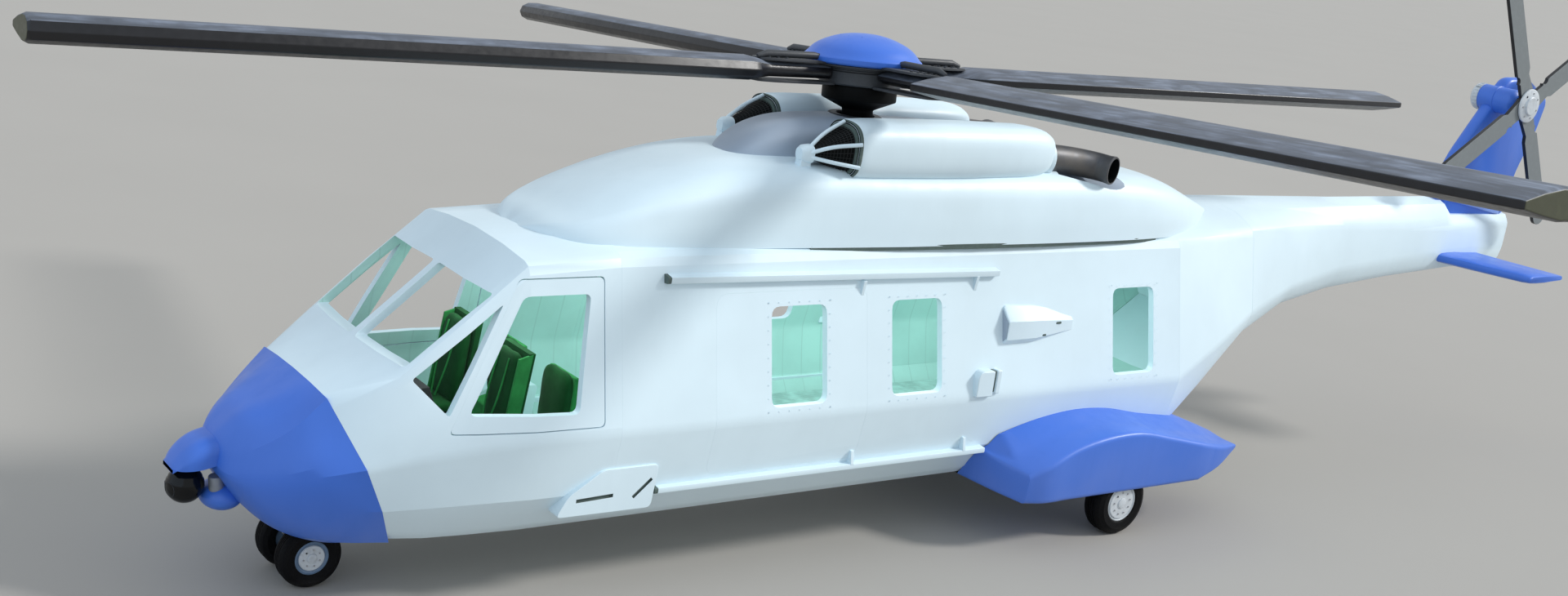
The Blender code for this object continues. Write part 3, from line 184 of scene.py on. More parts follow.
class Finish:
    """Builds one material: a Principled shader and the nodes that vary it."""

    def __init__(self, roughness=0.5, metallic=0.0, **constants):
        self.material = bpy.data.materials.new("finish")
        self.material.use_nodes = True
        self.tree = self.material.node_tree
        self.shader = self.tree.nodes["Principled BSDF"]
        self.set("Roughness", roughness)
        self.set("Metallic", metallic)
        for socket, value in constants.items():
            self.set(socket.replace("_", " "), value)

    def give(self, socket, value):
        """Give any socket a number, a colour or a Value."""
        if isinstance(value, Value):
            self.tree.links.new(value.output, socket)
        else:
            socket.default_value = value

    def set(self, socket, value):
        """Give one of the shader's sockets a number, a colour or a Value."""
        self.give(self.shader.inputs[socket], value)

    def node(self, kind, settings, inputs, output=0):
        """Any node: its type, its settings, its sockets' values or links, and which output is used."""
        made = self.tree.nodes.new(kind)
        for key, value in settings.items():
            setattr(made, key, value)
        for key, value in inputs.items():
            self.give(made.inputs[key], value)
        return Value(self, made.outputs[output])

    def place(self, scale=(1.0, 1.0, 1.0)):
        """Object coordinates, stretched."""
        spot = self.node("ShaderNodeTexCoord", {}, {}, "Object")
        return self.node("ShaderNodeMapping", {}, {"Vector": spot, "Scale": scale})

    def along(self, axis):
        """The distance along one of the object's axes."""
        return self.node("ShaderNodeSeparateXYZ", {}, {0: self.place()}, axis)

    def noise(self, where, scale, detail=3.0, roughness=0.55):
        """Cloudy noise from 0 to 1."""
        return self.node("ShaderNodeTexNoise", {}, {"Vector": where, "Scale": scale, "Detail": detail,
                                                    "Roughness": roughness}, "Fac")

    def waves(self, direction, scale):
        """Even bands across one direction."""
        return self.node("ShaderNodeTexWave", {"bands_direction": direction},
                         {"Vector": self.place(), "Scale": scale}, "Fac")

    def spread(self, value, low, high, to_low=0.0, to_high=1.0):
        """Map a range of a value to another range, clamped."""
        return self.node("ShaderNodeMapRange", {"clamp": True}, {
            "Value": value, "From Min": low, "From Max": high, "To Min": to_low, "To Max": to_high})

    def mix(self, factor, first, second):
        """Between two colours."""
        return self.node("ShaderNodeMix", {"data_type": "RGBA"},
                         {0: factor, 6: colour4(first), 7: colour4(second)}, 2)

    def bumped(self, height, distance, strength):
        """The finished material, with a fine relief."""
        self.set("Normal", self.node("ShaderNodeBump", {}, {
            "Height": height, "Distance": distance, "Strength": strength}, "Normal"))
        return self.material


def colour4(colour):
    """A colour as four numbers; a Value stays as it is."""
    return colour if isinstance(colour, Value) else (*colour[:3], 1.0)


def shade(colour, share):
    """A colour made darker or lighter by a share."""
    return tuple(min(1.0, channel * share) for channel in colour[:3])


# Finishes
DUST = (0.42, 0.40, 0.36)
SOOT_STATIONS = (-2.95, -2.2)


def sprayed_paint(colour, roughness, streak_share, coat=0.15):
    """Satin paint: slow drift in tone, rain streaks, dust low down and a fine orange peel."""
    finish = Finish(Coat_Roughness=0.25, Coat_IOR=1.4)
    drift = finish.noise(finish.place(), 0.9)
    streaks = finish.noise(finish.place((7.0, 7.0, 0.55)), 1.0, 4.0)
    speckle = finish.noise(finish.place(), 24.0, 4.0, 0.7)
    dust = finish.spread(finish.along("Z"), 0.40, 1.15, 1.0, 0.0) * finish.spread(drift, 0.35, 0.7)
    toned = finish.mix(finish.spread(drift, 0.3, 0.7), shade(colour, 0.955), shade(colour, 1.03))
    streaked = finish.mix(finish.spread(streaks, 0.52, 0.75) * streak_share, toned, shade(colour, 0.80))
    grimed = finish.mix(finish.spread(speckle, 0.60, 0.80) * (0.5 * streak_share), streaked,
                        shade(colour, 0.6))
    finish.set("Base Color", finish.mix(dust * 0.16, grimed, DUST))
    finish.set("Roughness", finish.spread(streaks, 0.3, 0.8, roughness - 0.06, roughness + 0.10))
    finish.set("Coat Weight", coat)
    return finish.bumped(finish.noise(finish.place(), 160.0, 2.0), 0.0006, 0.10)


def lining_cloth():
    """Cabin lining: a soft quilted sheet with a faint weave."""
    colour = colour_of("lining")
    finish = Finish(roughness=0.85)
    drift = finish.noise(finish.place(), 2.2, 4.0)
    weave = finish.waves("X", 60.0) * finish.waves("Z", 60.0)
    toned = finish.mix(finish.spread(drift, 0.3, 0.7), shade(colour, 0.93), shade(colour, 1.05))
    seams = finish.spread(finish.waves("X", 1.25), 0.0, 0.012)
    finish.set("Base Color", finish.mix(seams, shade(colour, 0.88), toned))
    return finish.bumped(weave, 0.0008, 0.4)


def blade_skin():
    """Weathered composite: streaks along the span, worn pale where rain and dust strike."""
    colour = colour_of("blade")
    finish = Finish()
    where = finish.node("ShaderNodeUVMap", {"uv_map": "blade"}, {}, "UV")
    long_way = finish.node("ShaderNodeMapping", {}, {"Vector": where, "Scale": (0.9, 9.0, 1.0)})
    wide_way = finish.node("ShaderNodeMapping", {}, {"Vector": where, "Scale": (2.2, 3.2, 1.0)})
    streaks = finish.noise(long_way, 1.6, 5.0, 0.6)
    cloud = finish.noise(wide_way, 1.3, 4.0)
    worn = finish.spread(streaks, 0.38, 0.66) * finish.spread(cloud, 0.30, 0.62)
    finish.set("Base Color", finish.mix(worn, shade(colour, 0.55), shade(colour, 1.7)))
    finish.set("Roughness", finish.spread(streaks, 0.3, 0.7, 0.42, 0.66))
    return finish.bumped(finish.noise(finish.place(), 120.0, 3.0), 0.0008, 0.2)


def satin(colour, roughness, metallic=0.0, grain=90.0, wear=1.35, shine=0.5):
    """A plain moulded or machined finish with scuffs and a fine grain."""
    finish = Finish(metallic=metallic, Specular_IOR_Level=shine)
    scuffs = finish.noise(finish.place(), 14.0, 5.0, 0.65)
    finish.set("Base Color", finish.mix(finish.spread(scuffs, 0.45, 0.75), colour, shade(colour, wear)))
    finish.set("Roughness", finish.spread(scuffs, 0.3, 0.7, roughness - 0.07, roughness + 0.08))
    return finish.bumped(finish.noise(finish.place(), grain, 2.0), 0.0007, 0.25)


def tyre_rubber():
    """Black rubber, greyer with dust near the ground."""
    finish = Finish(Specular_IOR_Level=0.12)
    grain = finish.noise(finish.place(), 60.0, 4.0)
    dust = finish.spread(finish.along("Z"), 0.0, 0.10, 1.0, 0.0) * finish.spread(grain, 0.35, 0.7)
    finish.set("Base Color", finish.mix(dust * 0.4, (0.004, 0.004, 0.0045), (0.10, 0.095, 0.085)))
    finish.set("Roughness", finish.spread(grain, 0.3, 0.7, 0.55, 0.8))
    return finish.bumped(grain, 0.0008, 0.35)


def seat_cloth(share=1.0):
    """Heavy green cloth with a square weave, lighter by a share; the lighter copy is painted light, on faces that
    would stand in shade.
    """
    colour = shade(colour_of("seat"), share)
    finish = Finish(roughness=0.9, Specular_IOR_Level=0.15, Sheen_Weight=0.06, Sheen_Roughness=0.5)
    weave = finish.waves("Y", 95.0) * finish.waves("Z", 95.0)
    fade = finish.noise(finish.place(), 5.0, 4.0)
    faded = finish.mix(finish.spread(fade, 0.3, 0.7), shade(colour, 0.8), shade(colour, 1.3))
    finish.set("Base Color", faded)
    return finish.bumped(weave, 0.0012, 0.5)


def heat_stained_steel():
    """Exhaust metal: dark with straw tints, sooty at the mouth."""
    finish = Finish(metallic=0.6)
    clouds = finish.noise(finish.place(), 4.0, 5.0)
    rear, front = (at(station, 0, 0).x for station in SOOT_STATIONS)
    soot = finish.spread(finish.along("X"), rear, front, 1.0, 0.0)
    tinted = finish.mix(finish.spread(clouds, 0.35, 0.65), (0.10, 0.105, 0.115), (0.16, 0.15, 0.14))
    finish.set("Base Color", finish.mix(soot * 0.7, tinted, (0.045, 0.046, 0.05)))
    finish.set("Roughness", finish.spread(clouds, 0.3, 0.7, 0.42, 0.62))
    return finish.bumped(clouds, 0.001, 0.2)


def ribbed_floor():
    """Non-slip cabin floor with ribs along it."""
    colour = colour_of("lining")
    finish = Finish(roughness=0.55)
    scuffs = finish.noise(finish.place(), 6.0, 5.0)
    scuffed = finish.mix(finish.spread(scuffs, 0.4, 0.7), shade(colour, 0.6), shade(colour, 0.9))
    finish.set("Base Color", scuffed)
    return finish.bumped(finish.waves("Y", 8.0), 0.003, 0.6)


def studio_floor():
    """A plain pale floor with a barely visible mottle."""
    colour = colour_of("floor")
    finish = Finish(roughness=0.85)
    cloud = finish.noise(finish.place(), 0.25, 3.0)
    finish.set("Base Color", finish.mix(cloud, shade(colour, 0.97), shade(colour, 1.03)))
    return finish.material


FINISHES = {
    "white": lambda: sprayed_paint(colour_of("white"), 0.48, 0.06),
    "blue": lambda: sprayed_paint(colour_of("blue"), 0.44, 0.12, 0.2),
    # Greyer paint and painted shade
    "fairing": lambda: sprayed_paint(colour_of("fairing"), 0.5, 0.10),
    "pale blue": lambda: sprayed_paint((0.22, 0.36, 0.80), 0.44, 0.08),
    "lining": lining_cloth,
    "blade": blade_skin,
    # Near black: on the main blades' faces that don't look up, partly a dark edge strip and partly painted shade;
    # also the tail blades' rims
    "edge": lambda: satin((0.006, 0.006, 0.008), 0.35),
    # Olive tint on the blade tips' end faces: a painted reflection
    "tip": lambda: satin((0.055, 0.058, 0.030), 0.5),
    "hub": lambda: satin((0.038, 0.042, 0.048), 0.5),
    "bar": lambda: satin((0.25, 0.27, 0.30), 0.4, 0.3, wear=1.2),
    "collar": lambda: satin((0.002, 0.0022, 0.0022), 0.5, shine=0.08),
    "tail": lambda: satin((0.19, 0.21, 0.215), 0.55, wear=1.15),
    "tyre": tyre_rubber,
    "rim": lambda: satin((0.60, 0.64, 0.67), 0.4, wear=0.8),
    "ring": lambda: satin((0.13, 0.20, 0.30), 0.4),
    "steel": lambda: satin((0.42, 0.43, 0.45), 0.32, 0.9, 200.0),
    "leg": lambda: satin((0.62, 0.66, 0.68), 0.42, wear=0.8),
    "exhaust": heat_stained_steel,
    "wire": lambda: satin((0.014, 0.016, 0.017), 0.5, 0.3),
    # Near black: painted shade in wells, holes, ducts and intakes; inside the exhausts, soot and painted shade
    "dark": lambda: satin((0.003, 0.004, 0.004), 0.6, shine=0.1),
    # Dark green-grey painted shade in grooves, slots, lips and faces that stand in shadow
    "groove": lambda: satin((0.075, 0.110, 0.100), 0.7),
    "ball": lambda: satin((0.003, 0.0035, 0.004), 0.12, wear=1.1, shine=0.25),
    "glass": lambda: satin((0.010, 0.013, 0.018), 0.05, wear=1.05),
    "seat": seat_cloth,
    # The seat cloth made lighter: painted light on the seats' sides, belts and rear seats
    "seat side": lambda: seat_cloth(3.4),
    "panel": lambda: satin((0.02, 0.02, 0.022), 0.6),
    "ribs": ribbed_floor,
    "studio": studio_floor,
}


def paint(name):
    """The named finish, made the first time it is asked for."""
    made = bpy.data.materials.get(f"finish {name}")
    if made is None:
        made = FINISHES[name]()
        made.name = f"finish {name}"
    return made


# Curves and outlines
def curve_through(points, steps, corners=()):
    """Points on a smooth curve through the given ones; it turns sharply only at its corners."""
    points = [Vector(point) for point in points]
    last = len(points) - 1
    lengths = [max((after - before).length, MERGE) for before, after in zip(points, points[1:])]

    def slope(index, arriving):
        if index in (0, last) or index in corners:
            start = index - 1 if index == last or (arriving and index > 0) else index
            return (points[start + 1] - points[start]) / lengths[start]
        back, ahead = lengths[index - 1], lengths[index]
        into = (points[index] - points[index - 1]) / back
        onward = (points[index + 1] - points[index]) / ahead
        return (into * ahead + onward * back) / (back + ahead)

    made = [points[0]]
    for index, length in enumerate(lengths):
        leave, arrive = slope(index, False) * length, slope(index + 1, True) * length
        for step in range(1, steps + 1):
            t = step / steps
            made.append(points[index] * (2 * t ** 3 - 3 * t ** 2 + 1) + leave * (t ** 3 - 2 * t ** 2 + t)
                        + points[index + 1] * (3 * t ** 2 - 2 * t ** 3) + arrive * (t ** 3 - t ** 2))
    return made


def smooth_rows(rows, steps, corners=()):
    """Rows of points with more rows between them, on smooth curves from row to row."""
    columns = [curve_through(column, steps, corners) for column in zip(*rows)]
    return [list(row) for row in zip(*columns)]


def both_sides(half, first=1):
    """A half section up to the ridge, then its mirror image from there down to the first point given."""
    return list(half) + [Vector((point.x, -point.y, point.z)) for point in reversed(half[first:-1])]


def eased(points, radius, steps=4, kept=()):
    """A closed outline with its corners eased by arcs, apart from the kept ones."""
    points = [Vector(point) for point in points]
    made = []
    for index, corner in enumerate(points):
        if index in kept:
            made.append(corner)
            continue
        before, after = points[index - 1], points[(index + 1) % len(points)]
        reach = min(radius, 0.45 * (before - corner).length, 0.45 * (after - corner).length)
        start = corner + (before - corner).normalized() * reach
        end = corner + (after - corner).normalized() * reach
        for step in range(steps + 1):
            t = step / steps
            made.append(start * (1 - t) ** 2 + corner * (2 * t * (1 - t)) + end * t ** 2)
    return made


def arc(centre, radius, first, last, steps):
    """Points of an arc in the plane of stations and heights, angles in degrees."""
    turns = (math.radians(first + (last - first) * step / steps) for step in range(steps + 1))
    return [(centre[0] + radius * math.cos(turn), centre[1] + radius * math.sin(turn)) for turn in turns]


def boxy(value, power):
    """A sine or cosine bent so that a round section turns into a rounded box."""
    return math.copysign(abs(value) ** power, value)


# Closed shapes
def closed_up(shape):
    """Merge doubled points and turn every face outwards."""
    bmesh.ops.remove_doubles(shape, verts=shape.verts, dist=MERGE)
    bmesh.ops.recalc_face_normals(shape, faces=shape.faces)
    return shape


def skin(rows, closed=True, capped=True):
    """A surface over rows of points, capped at both ends."""
    shape = bmesh.new()
    rings = [[shape.verts.new(point) for point in row] for row in rows]
    count = len(rings[0])
    for first, second in zip(rings, rings[1:]):
        for index in range(count if closed else count - 1):
            after = (index + 1) % count
            shape.faces.new((first[index], first[after], second[after], second[index]))
    if capped:
        for ring in (rings[0], rings[-1]):
            shape.faces.new(ring)
    return closed_up(shape)


def prism(outline, offset):
    """An outline pushed along an offset."""
    outline = [Vector(point) for point in outline]
    return skin([outline, [point + Vector(offset) for point in outline]])


def side_prism(outline, low_y, high_y):
    """An outline of (station, z), pushed from one y to another."""
    return prism([at(station, low_y, z) for station, z in outline], (0.0, high_y - low_y, 0.0))


def side_block(side, low, high):
    """A box on one side, between two corners of (station, y, z) given for the port side."""
    inner, outer = sorted((side * low[1], side * high[1]))
    (front, _, foot), (rear, _, top) = low, high
    outline = [at(front, inner, foot), at(rear, inner, foot), at(rear, outer, foot), at(front, outer, foot)]
    return prism(outline, (0.0, 0.0, top - foot))


def turned(profile, centre, axis, steps=48, looped=False):
    """A profile spun about an axis; a looped one ends where it starts."""
    axis = Vector(axis).normalized()
    side = axis.orthogonal().normalized()
    other = axis.cross(side)
    profile = list(profile) + ([profile[0]] if looped else [])
    rows = []
    for step in range(steps + 1):
        turn = math.tau * (step % steps) / steps
        outward = side * math.cos(turn) + other * math.sin(turn)
        rows.append([Vector(centre) + axis * along + outward * radius for radius, along in profile])
    return skin(rows, closed=False, capped=False)


def cylinder(radius, low, high, centre, axis, steps=48):
    """A round bar about an axis, between two distances along it."""
    return turned(((0, low), (radius, low), (radius, high), (0, high)), centre, axis, steps)


def tube(path, radius, sides=16):
    """A round bar along a path, of one radius or one for each point."""
    path = [Vector(point) for point in path]
    radii = radius if isinstance(radius, (list, tuple)) else [radius] * len(path)
    side = (path[1] - path[0]).orthogonal().normalized()
    rows = []
    for index, point in enumerate(path):
        along = (path[min(index + 1, len(path) - 1)] - path[max(index - 1, 0)]).normalized()
        side = (side - along * side.dot(along)).normalized()
        other = along.cross(side)
        turns = (math.tau * step / sides for step in range(sides))
        rows.append([point + (side * math.cos(turn) + other * math.sin(turn)) * radii[index]
                     for turn in turns])
    return skin(rows)


def ellipsoid(centre, radii, steps=24):
    """A round lump."""
    rows = []
    for step in range(steps + 1):
        tilt = math.pi * step / steps
        turns = (math.tau * index / (2 * steps) for index in range(2 * steps))
        rows.append([Vector((centre[0] + radii[0] * math.sin(tilt) * math.cos(turn),
                             centre[1] + radii[1] * math.sin(tilt) * math.sin(turn),
                             centre[2] + radii[2] * math.cos(tilt))) for turn in turns])
    return skin(rows, capped=False)


def moved(shape, matrix):
    """The shape, moved by a matrix."""
    bmesh.ops.transform(shape, matrix=matrix, verts=shape.verts)
    return shape


def linked(name, mesh):
    """A new object for a mesh, in the scene."""
    made = bpy.data.objects.new(name, mesh)
    bpy.context.scene.collection.objects.link(made)
    return made


def mesh_of(name, shape):
    """A mesh made from a shape, which is freed."""
    mesh = bpy.data.meshes.new(name)
    shape.to_mesh(mesh)
    shape.free()
    return mesh


def cutting_object(name, shape):
    """A bare object around a shape, with one material slot for its own faces and one for cut faces."""
    mesh = mesh_of(name, shape)
    mesh.materials.append(None)
    mesh.materials.append(None)
    return linked(name, mesh)


def evaluated_mesh(made):
    """The mesh that an object's modifiers give."""
    depsgraph = bpy.context.evaluated_depsgraph_get()
    return bpy.data.meshes.new_from_object(made.evaluated_get(depsgraph))


def carved(shape, *cutters):
    """A shape with others cut out of it; the cut faces get material index 1."""
    body = cutting_object("carved", shape)
    tools = []
    for cutter in cutters:
        for face in cutter.faces:
            face.material_index = 1
        tool = cutting_object("cutter", cutter)
        step = body.modifiers.new("cut", "BOOLEAN")
        step.object = tool
        step.operation = "DIFFERENCE"
        step.solver = "EXACT"
        tools.append(tool)
    result = bmesh.new()
    result.from_mesh(evaluated_mesh(body))
    for made in [body] + tools:
        bpy.data.objects.remove(made)
    return result


# Pieces
def finish_piece(name, shape, finishes, node_or_body, replaced=(), sharp=SHARP, rounding=0.0):
    """Make the object: smooth between sharp edges, painted, riding on its body."""
    mesh = mesh_of(name, shape)
    mesh.shade_smooth()
    mesh.set_sharp_from_angle(angle=math.radians(sharp))
    for finish in finishes:
        mesh.materials.append(paint(finish))
    piece = linked(name, mesh)
    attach(piece, BODY_OF.get(node_or_body, node_or_body))
    if replaced:
        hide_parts(*replaced)
    if rounding:
        round_edges(piece, rounding)
    return piece


def round_edges(piece, width, angle=30.0):
    """Round a piece's sharp edges and keep its flats flat."""
    step = piece.modifiers.new("rounded edges", "BEVEL")
    step.width = width
    step.segments = 2
    step.limit_method = "ANGLE"
    step.angle_limit = math.radians(angle)
    step.harden_normals = True


class Build:
    """A piece put together from closed shapes, each with its own finish."""

    def __init__(self):
        self.shape = bmesh.new()
        self.finishes = []

    def number(self, finish):
        """A finish's number in this piece."""
        if finish not in self.finishes:
            self.finishes.append(finish)
        return self.finishes.index(finish)

    def add(self, shape, finish, cut_finish=None):
        """Add a shape; the faces that were cut take the second finish."""
        numbers = (self.number(finish), self.number(cut_finish or finish))
        for face in shape.faces:
            face.material_index = numbers[min(face.material_index, 1)]
        part = mesh_of("part", shape)
        self.shape.from_mesh(part)
        bpy.data.meshes.remove(part)
        return self

    def stand_in(self, name, node, slot=None, sharp=SHARP, rounding=0.0):
        """The visible form of a CAD node."""
        return finish_piece(name, self.shape, self.finishes, node, [node], sharp, rounding)

    def extra(self, name, body, rounding=0.0, slot=None, sharp=SHARP):
        """A piece that the CAD doesn't have."""
        return finish_piece(name, self.shape, self.finishes, body, (), sharp, rounding)


def merged_copy(node):
    """A CAD solid's mesh with its loose triangles joined and its flats made whole."""
    shape = bmesh.new()
    shape.from_mesh(frame["nodes"][node].data)
    bmesh.ops.remove_doubles(shape, verts=shape.verts, dist=MERGE)
    bmesh.ops.dissolve_limit(shape, angle_limit=FLAT_ANGLE, verts=shape.verts, edges=shape.edges)
    return shape


# Geometry Nodes
STUD_SIDES = 10
WIRE_SIDES = 5


def node_tree(name, sockets):
    """A tree with its geometry sockets and named inputs, and the outputs that give them."""
    tree = bpy.data.node_groups.new(name, "GeometryNodeTree")
    tree.interface.new_socket("Geometry", in_out="OUTPUT", socket_type="NodeSocketGeometry")
    tree.interface.new_socket("Geometry", in_out="INPUT", socket_type="NodeSocketGeometry")
    for title, kind in sockets:
        tree.interface.new_socket(title, in_out="INPUT", socket_type=f"NodeSocket{kind}")
    return tree, tree.nodes.new("NodeGroupInput").outputs


def tree_step(tree, kind, settings, inputs):
    """One node of a tree: its settings, then its sockets' values or links; its first output."""
    made = tree.nodes.new(kind)
    for key, value in settings.items():
        setattr(made, key, value)
    for key, value in inputs.items():
        if isinstance(value, bpy.types.NodeSocket):
            tree.links.new(value, made.inputs[key])
        else:
            made.inputs[key].default_value = value
    return made.outputs[0]


def tree_end(tree, made, finish):
    """Make a tree's instances real, give them their finish and lead them out."""
    real = tree_step(tree, "GeometryNodeRealizeInstances", {}, {0: made})
    done = tree_step(tree, "GeometryNodeSetMaterial", {}, {"Geometry": real, "Material": finish})
    tree.links.new(done, tree.nodes.new("NodeGroupOutput").inputs[0])
    return tree


def studs_tree(name):
    """Low round studs, evenly spaced along edges, each standing along the attribute "out"."""
    tree, given = node_tree(name, (("Radius", "Float"), ("Height", "Float"), ("Spacing", "Float"),
                                   ("Finish", "Material")))
    curve = tree_step(tree, "GeometryNodeMeshToCurve", {}, {0: given["Geometry"]})
    spaced = tree_step(tree, "GeometryNodeResampleCurve", {"mode": "LENGTH"},
                       {"Curve": curve, "Length": given["Spacing"]})
    head = tree_step(tree, "GeometryNodeMeshCylinder", {},
                     {"Vertices": STUD_SIDES, "Radius": given["Radius"], "Depth": given["Height"]})
    out = tree_step(tree, "GeometryNodeInputNamedAttribute", {"data_type": "FLOAT_VECTOR"}, {"Name": "out"})
    turn = tree_step(tree, "FunctionNodeAlignEulerToVector", {"axis": "Z"}, {"Vector": out})
    heads = tree_step(tree, "GeometryNodeInstanceOnPoints", {},
                      {"Points": spaced, "Instance": head, "Rotation": turn})
    return tree_end(tree, heads, given["Finish"])


def wires_tree(name):
    """Round wires along edges."""
    tree, given = node_tree(name, (("Radius", "Float"), ("Finish", "Material")))
    curve = tree_step(tree, "GeometryNodeMeshToCurve", {}, {0: given["Geometry"]})
    circle = tree_step(tree, "GeometryNodeCurvePrimitiveCircle", {},
                       {"Resolution": WIRE_SIDES, "Radius": given["Radius"]})
    swept = tree_step(tree, "GeometryNodeCurveToMesh", {},
                      {"Curve": curve, "Profile Curve": circle, "Fill Caps": True})
    return tree_end(tree, swept, given["Finish"])


def grown(name, make_tree, paths, values, body):
    """Run a tree on paths, each a list of points and the ways their studs stand, as one plain piece."""
    tree = bpy.data.node_groups.get(make_tree.__name__) or make_tree(make_tree.__name__)
    points, edges, outs = [], [], []
    for path, ways in paths:
        start = len(points)
        points += [tuple(point) for point in path]
        outs += [tuple(way) for way in (ways if isinstance(ways, list) else [ways] * len(path))]
        edges += [(index, index + 1) for index in range(start, len(points) - 1)]
    mesh = bpy.data.meshes.new(name)
    mesh.from_pydata(points, edges, [])
    mesh.attributes.new("out", "FLOAT_VECTOR", "POINT").data.foreach_set(
        "vector", [number for way in outs for number in way])
    piece = linked(name, mesh)
    step = piece.modifiers.new("grown", "NODES")
    step.node_group = tree
    for item in tree.interface.items_tree:
        if item.in_out == "INPUT" and item.name in values:
            step[item.identifier] = values[item.name]
    made = evaluated_mesh(piece)
    piece.modifiers.remove(step)
    piece.data = made
    if "out" in made.attributes:
        made.attributes.remove(made.attributes["out"])
    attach(piece, body)
    return piece


def studs(name, paths, radius, height, spacing, finish, body):
    """Studs, bolts or rivets along paths."""
    values = {"Radius": radius, "Height": height, "Spacing": spacing, "Finish": paint(finish)}
    grown(name, studs_tree, paths, values, body)


def ring_path(centre, axis, radius, steps=36, radial=False):
    """A closed circle and the way that studs on it stand: along its axis, or outwards."""
    axis = Vector(axis).normalized()
    side = axis.orthogonal().normalized()
    other = axis.cross(side)
    ways = [side * math.cos(math.tau * step / steps) + other * math.sin(math.tau * step / steps)
            for step in range(steps + 1)]
    return [Vector(centre) + way * radius for way in ways], ways if radial else axis


# The hull
HULL_WALLS = ("cockpit_frame", "cockpit_door_left", "cockpit_door_right", "cabin_side_left",
              "cabin_side_right", "sliding_door_left", "sliding_door_right", "cabin_roof", "lower_hull",
              "aft_hull", "rear_ramp")
CABIN_MIDDLE_Z = 1.75
CABIN_MIDDLE_REACH = 0.6
COCKPIT_REAR = 3.95
COCKPIT_OUTWARD = 0.8
INWARD_LIMIT = -0.35
BOOM_ROUNDING = 0.02
BOOM_END = -11.10
BOOM_END_SHARE = 0.25


def faces_inward(face):
    """Whether a wall's face looks into the cabin."""
    middle = face.calc_center_median()
    outward = Vector((0.0, middle.y, (middle.z - CABIN_MIDDLE_Z) * CABIN_MIDDLE_REACH))
    if middle.x > at(COCKPIT_REAR, 0, 0).x:
        outward.x = COCKPIT_OUTWARD
    return face.normal.dot(outward.normalized()) < INWARD_LIMIT


class MakeHull(bpy.types.Operator):
    """Paint the hull walls outside, line them inside, and draw in the boom's end"""
    bl_idname = "helicopter.hull"
    bl_label = "Hull"

    def execute(self, context):
        for node in HULL_WALLS:
            shape = merged_copy(node)
            for face in shape.faces:
                face.material_index = int(faces_inward(face))
            finish_piece(f"{node}_finish", shape, ("white", "lining"), node, [node],
                         rounding=size_of("edge_rounding"))
        boom = merged_copy("tail_boom")
        for point in boom.verts:
            point.co.x += max(0.0, at(BOOM_END, 0, 0).x - point.co.x) * BOOM_END_SHARE
        finish_piece("tail_boom_finish", boom, ("white",), "tail_boom", ["tail_boom"],
                     rounding=BOOM_ROUNDING)
        return {"FINISHED"}


# The nose: half sections from keel to ridge, the first as y and z on the leaning joint with the hull
NOSE_JOINT_STATION = 4.85
NOSE_JOINT_LEAN = 0.465
NOSE_JOINT_Z = 0.62
NOSE_JOINT = ((0, 0.50), (0.80, 0.55), (0.98, 0.90), (1.02, 1.28), (0.68, 1.77), (0.35, 1.80), (0, 1.81))
NOSE_FRAMES = (
    ((5.20, 0, 0.53), (5.24, 0.70, 0.57), (5.36, 0.86, 0.90), (5.48, 0.88, 1.20), (5.63, 0.63, 1.52),
     (5.68, 0.28, 1.63), (5.68, 0, 1.64)),
    ((5.60, 0, 0.60), (5.64, 0.48, 0.65), (5.76, 0.62, 0.90), (5.82, 0.62, 1.08), (5.88, 0.46, 1.31),
     (5.94, 0.19, 1.46), (5.94, 0, 1.47)),
    ((5.84, 0, 0.78), (5.86, 0.24, 0.81), (5.95, 0.34, 0.96), (6.00, 0.35, 1.06), (6.03, 0.24, 1.21),
     (6.05, 0.10, 1.31), (6.05, 0, 1.32)),
    ((5.99, 0, 0.98), (6.00, 0.10, 1.00), (6.05, 0.14, 1.06), (6.07, 0.13, 1.12), (6.075, 0.08, 1.18),
     (6.075, 0.04, 1.19), (6.075, 0, 1.20)))
NOSE_CREASE = 4
NOSE_STEPS_ACROSS = 5
NOSE_STEPS_ALONG = 6
NOSE_WHEEL_STATION = 5.24
NOSE_WELL_RADIUS = 0.37
NOSE_WELL_RANGE = (0.2, 0.60)
# Sensor hood: station, top, half width and underside
HOOD = ((5.78, 1.30, 0.21, 1.18), (6.02, 1.33, 0.225, 1.12), (6.18, 1.28, 0.22, 1.085),
        (6.30, 1.18, 0.18, 1.075), (6.35, 1.10, 0.12, 1.07))
HOOD_SHOULDER = 0.07
HOOD_TOP_SHARE = 0.55
CHIN = ((5.92, 0, 0.79), (0.17, 0.21, 0.12))
SENSOR_POST = ((0, 0), (0.055, 0), (0.06, 0.01), (0.06, 0.22), (0.055, 0.23), (0, 0.23))
SENSOR_POST_FOOT = (5.97, 0.07, 0.75)
SENSOR_POST_WAY = (0.12, 0.05, 1.0)


